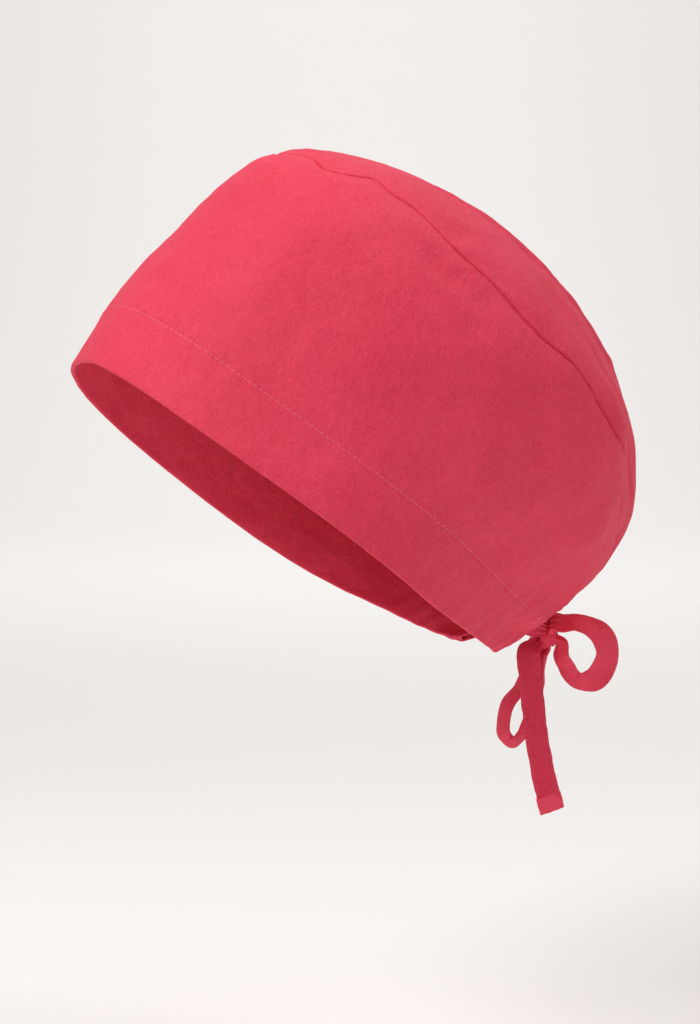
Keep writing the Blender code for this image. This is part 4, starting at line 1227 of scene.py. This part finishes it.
class CAP_OT_tie(ClothOperator, bpy.types.Operator):
    """Makes the tie's loops, tails and leads"""

    bl_idname = "cap.tie"
    bl_label = "Tie"

    def execute(self, context):
        settings = context.scene.cap_tie
        # Painted shade and painted light: the tails and the far loop get darker copies of the cloth for the
        # shade they hang in, and the near loop gets a lighter copy for the light falling on it
        painted_light_and_shade = {"tie_tail_left": 0.93, "tie_tail_right": 0.93}
        painted_light_and_shade.update(tie_loop_right=0.97, tie_loop_left=1.06)
        # The turned ends get a paler copy of the cloth: partly painted light for the light on their tilted
        # faces, partly the cloth's other side turned out
        turned = self.cloth(context, "poplin_tie_end", 1.10)
        thick = context.scene.cap_cloth.thickness
        whole = {"rows": settings.rows, "camber": settings.camber, "drawn_start": True, "drawn_end": True}
        whole.update(width=TIE_WIDTH, thick=TIE_THICK, first_width=TIE_DRAWN_WIDTH, frayed=0.0)
        over = dict(whole, first_width=OVER_KNOT_WIDTH, camber=OVER_KNOT_CAMBER)
        hanging = dict(whole, drawn_end=False)
        short = dict(whole, rows=LEAD_STEPS, width=LEAD_WIDTH, drawn_start=False)
        near_loop = ribbon_route(LOOP_LEFT, "loop_left_top", "loop_left_foot")
        far_loop = ribbon_route(LOOP_RIGHT, "loop_right_top", "loop_right_foot")
        routes = (
            ("tie_loop_left", near_loop, dict(over, seed=41)),
            ("tie_loop_right", far_loop, dict(whole, seed=52)),
            ("tie_tail_left", ribbon_route(TAIL_LEFT, "tail_left"), dict(hanging, seed=63)),
            ("tie_tail_right", ribbon_route(TAIL_RIGHT, "tail_right"), dict(hanging, seed=74)),
            ("tie_lead_left", lead_route(1, thick), dict(short, seed=85)),
            ("tie_lead_right", lead_route(-1, thick), dict(short, seed=96)),
        )
        rows = []
        for name, route, options in routes:
            points, faces, uv, lines, length = ribbon(*route, options)
            cloth = self.cloth(context, name.replace("tie_", "poplin_"), painted_light_and_shade.get(name, 1.0))
            piece = new_piece(name.replace("tie_", "ribbon_"), points, faces, cloth, uv)
            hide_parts(name)
            if "tail" in name:
                end = dict(options, last=TAIL_HEM, rows=TAIL_HEM_STEPS, drawn_start=False)
                end.update(width=TAIL_HEM_WIDTH, thick=TAIL_HEM_THICK, frayed=TAIL_HEM_FRAY)
                end["seed"] = options["seed"] + 5
                points, faces, uv, _, _ = ribbon(*route, end)
                hem = new_piece(name.replace("tie_", "turned_end_"), points, faces, turned, uv)
            if "lead" in name:
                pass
            else:
                rows += lines
        stitching = context.scene.cap_stitching
        laid = [row_of_stitches(path, out, TOPSTITCH_PITCH, 0.05) for path, out in rows]
        tree = bpy.data.node_groups.get("Stitches") or stitch_tree()
        width = stitching.width * TOPSTITCH_THREAD_SHARE
        seams = stitches("tie_topstitching", laid, TOPSTITCH_LENGTH, width, tree, self.thread(context))
        return {"FINISHED"}


class CAP_OT_knot(ClothOperator, bpy.types.Operator):
    """Makes the knot from its gathered core and the turn round it"""

    bl_idname = "cap.knot"
    bl_label = "Knot"

    def execute(self, context):
        cloth = self.cloth(context, "poplin_tie")
        points, faces, uv = knot_core()
        core = new_piece("knot_core", points, faces, cloth, uv)
        points, faces, uv = knot_wrap()
        wrap = new_piece("knot_wrap", points, faces, cloth, uv)
        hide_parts("tie_knot")
        return {"FINISHED"}


class CAP_OT_stitching(ClothOperator, bpy.types.Operator):
    """Makes the stitching round the hem"""

    bl_idname = "cap.stitching"
    bl_label = "Stitching"

    def execute(self, context):
        settings = context.scene.cap_stitching
        tree = bpy.data.node_groups.get("Stitches") or stitch_tree()
        thread = self.thread(context)
        angle = np.linspace(-1.0, 1.0, 900) * END_ANGLE_STITCH * 0.992
        way = np.full_like(angle, STITCH_WAY)
        distance = (seam_way(angle) - way) * seam_lean(angle) * SIDE_LENGTH
        path = skin(angle, way, -0.00006 + 0 * angle, False, distance)
        normal = plain_normal(angle, way)
        rows = [row_of_stitches(path, normal, settings.pitch, 0.03)]
        hem = stitches("hem_stitches", rows, settings.length, settings.width, tree, thread)
        return {"FINISHED"}


class CAP_OT_stage(ClothOperator, bpy.types.Operator):
    """Makes the floor, the light and the camera"""

    bl_idname = "cap.stage"
    bl_label = "Stage"

    def execute(self, context):
        settings = context.scene.cap_stage
        away = Vector((-math.sin(CAMERA_TURN), math.cos(CAMERA_TURN), 0.0))
        right = Vector((math.cos(CAMERA_TURN), math.sin(CAMERA_TURN), 0.0))
        back = Vector((0.0, 0.0, math.sin(CAMERA_LIFT))) - away * math.cos(CAMERA_LIFT)
        up = back.cross(right)
        target = Vector(CAMERA_TARGET)

        data = bpy.data.cameras.new("camera")
        data.lens = CAMERA_LENS
        data.sensor_fit = "AUTO"
        data.sensor_width = CAMERA_SENSOR
        data.clip_end = 50.0
        camera = bpy.data.objects.new("camera", data)
        facing = Matrix((right, up, back)).transposed().to_4x4()
        camera.matrix_world = Matrix.Translation(target + back) @ facing
        context.scene.collection.objects.link(camera)
        context.scene.camera = camera

        mesh = bpy.data.meshes.new("paper")
        profile = [(-PAPER_FRONT, 0.0)]
        for k in range(PAPER_STEPS + 1):
            bend = math.pi / 2 * k / PAPER_STEPS
            profile.append((PAPER_BACK + PAPER_CURVE * math.sin(bend), PAPER_CURVE * (1 - math.cos(bend))))
        profile.append((PAPER_BACK + PAPER_CURVE, PAPER_TOP))
        points = []
        for run, height in profile:
            for side in (-PAPER_SIDE, PAPER_SIDE):
                spot = away * run + right * side
                points.append((spot.x, spot.y, settings.drop + height))
        faces = [(2 * k, 2 * k + 1, 2 * k + 3, 2 * k + 2) for k in range(len(profile) - 1)]
        mesh.from_pydata(points, [], faces)
        mesh.polygons.foreach_set("use_smooth", [True] * len(mesh.polygons))
        mesh.materials.append(seamless_paper("seamless_paper", settings.paper))
        paper = bpy.data.objects.new("paper", mesh)
        context.scene.collection.objects.link(paper)

        for row in named_rows(LAMP_COLUMNS, LAMPS):
            place = target + right * row["right"] + up * row["up"] + back * row["back"]
            aim = target + up * row["aim_up"] + back * row["aim_back"]
            light = bpy.data.lights.new(row["name"], "AREA")
            light.shape = "SQUARE"
            light.size = row["size"]
            light.energy = row["power"]
            lamp = bpy.data.objects.new(row["name"], light)
            lamp.location = place
            lamp.rotation_euler = (aim - place).to_track_quat("-Z", "Y").to_euler()
            context.scene.collection.objects.link(lamp)
        world = bpy.data.worlds.new("soft_room")
        world.use_nodes = True
        sky = world.node_tree.nodes["Background"]
        sky.inputs["Color"].default_value = (1.0, 0.99, 0.98, 1.0)
        sky.inputs["Strength"].default_value = ROOM_LIGHT
        context.scene.world = world
        context.scene.view_settings.view_transform = "Standard"
        return {"FINISHED"}


class CAP_PT_panel(bpy.types.Panel):
    """The cap's panel in the sidebar"""

    bl_idname = "CAP_PT_panel"
    bl_label = "Scrub cap"
    bl_space_type = "VIEW_3D"
    bl_region_type = "UI"
    bl_category = "Scrub cap"

    def draw(self, context):
        for name in ("cap_cloth", "cap_tie", "cap_stitching", "cap_stage"):
            group = getattr(context.scene, name)
            for key in group.bl_rna.properties.keys():
                if key not in ("rna_type", "name"):
                    self.layout.prop(group, key)
        for operator in OPERATORS:
            self.layout.operator(operator.bl_idname)


GROUPS = {"cap_cloth": CapCloth, "cap_tie": CapTie, "cap_stitching": CapStitching, "cap_stage": CapStage}
OPERATORS = (
    CAP_OT_side_panel,
    CAP_OT_crown_panel,
    CAP_OT_seam_allowance,
    CAP_OT_tie,
    CAP_OT_knot,
    CAP_OT_stitching,
    CAP_OT_stage,
)


def register():
    """Registers the add-on."""
    for kind in (*GROUPS.values(), *OPERATORS, CAP_PT_panel):
        bpy.utils.register_class(kind)
    for name, kind in GROUPS.items():
        setattr(bpy.types.Scene, name, PointerProperty(type=kind))


def unregister():
    """Takes the add-on out again."""
    for name in GROUPS:
        delattr(bpy.types.Scene, name)
    for kind in (CAP_PT_panel, *OPERATORS[::-1], *GROUPS.values()):
        bpy.utils.unregister_class(kind)


def main():
    """Builds the whole cap and its stage."""
    register()
    bpy.ops.cap.side_panel()
    bpy.ops.cap.crown_panel()
    bpy.ops.cap.seam_allowance()
    bpy.ops.cap.tie()
    bpy.ops.cap.knot()
    bpy.ops.cap.stitching()
    bpy.ops.cap.stage()


if __name__ == "__main__":
    main()
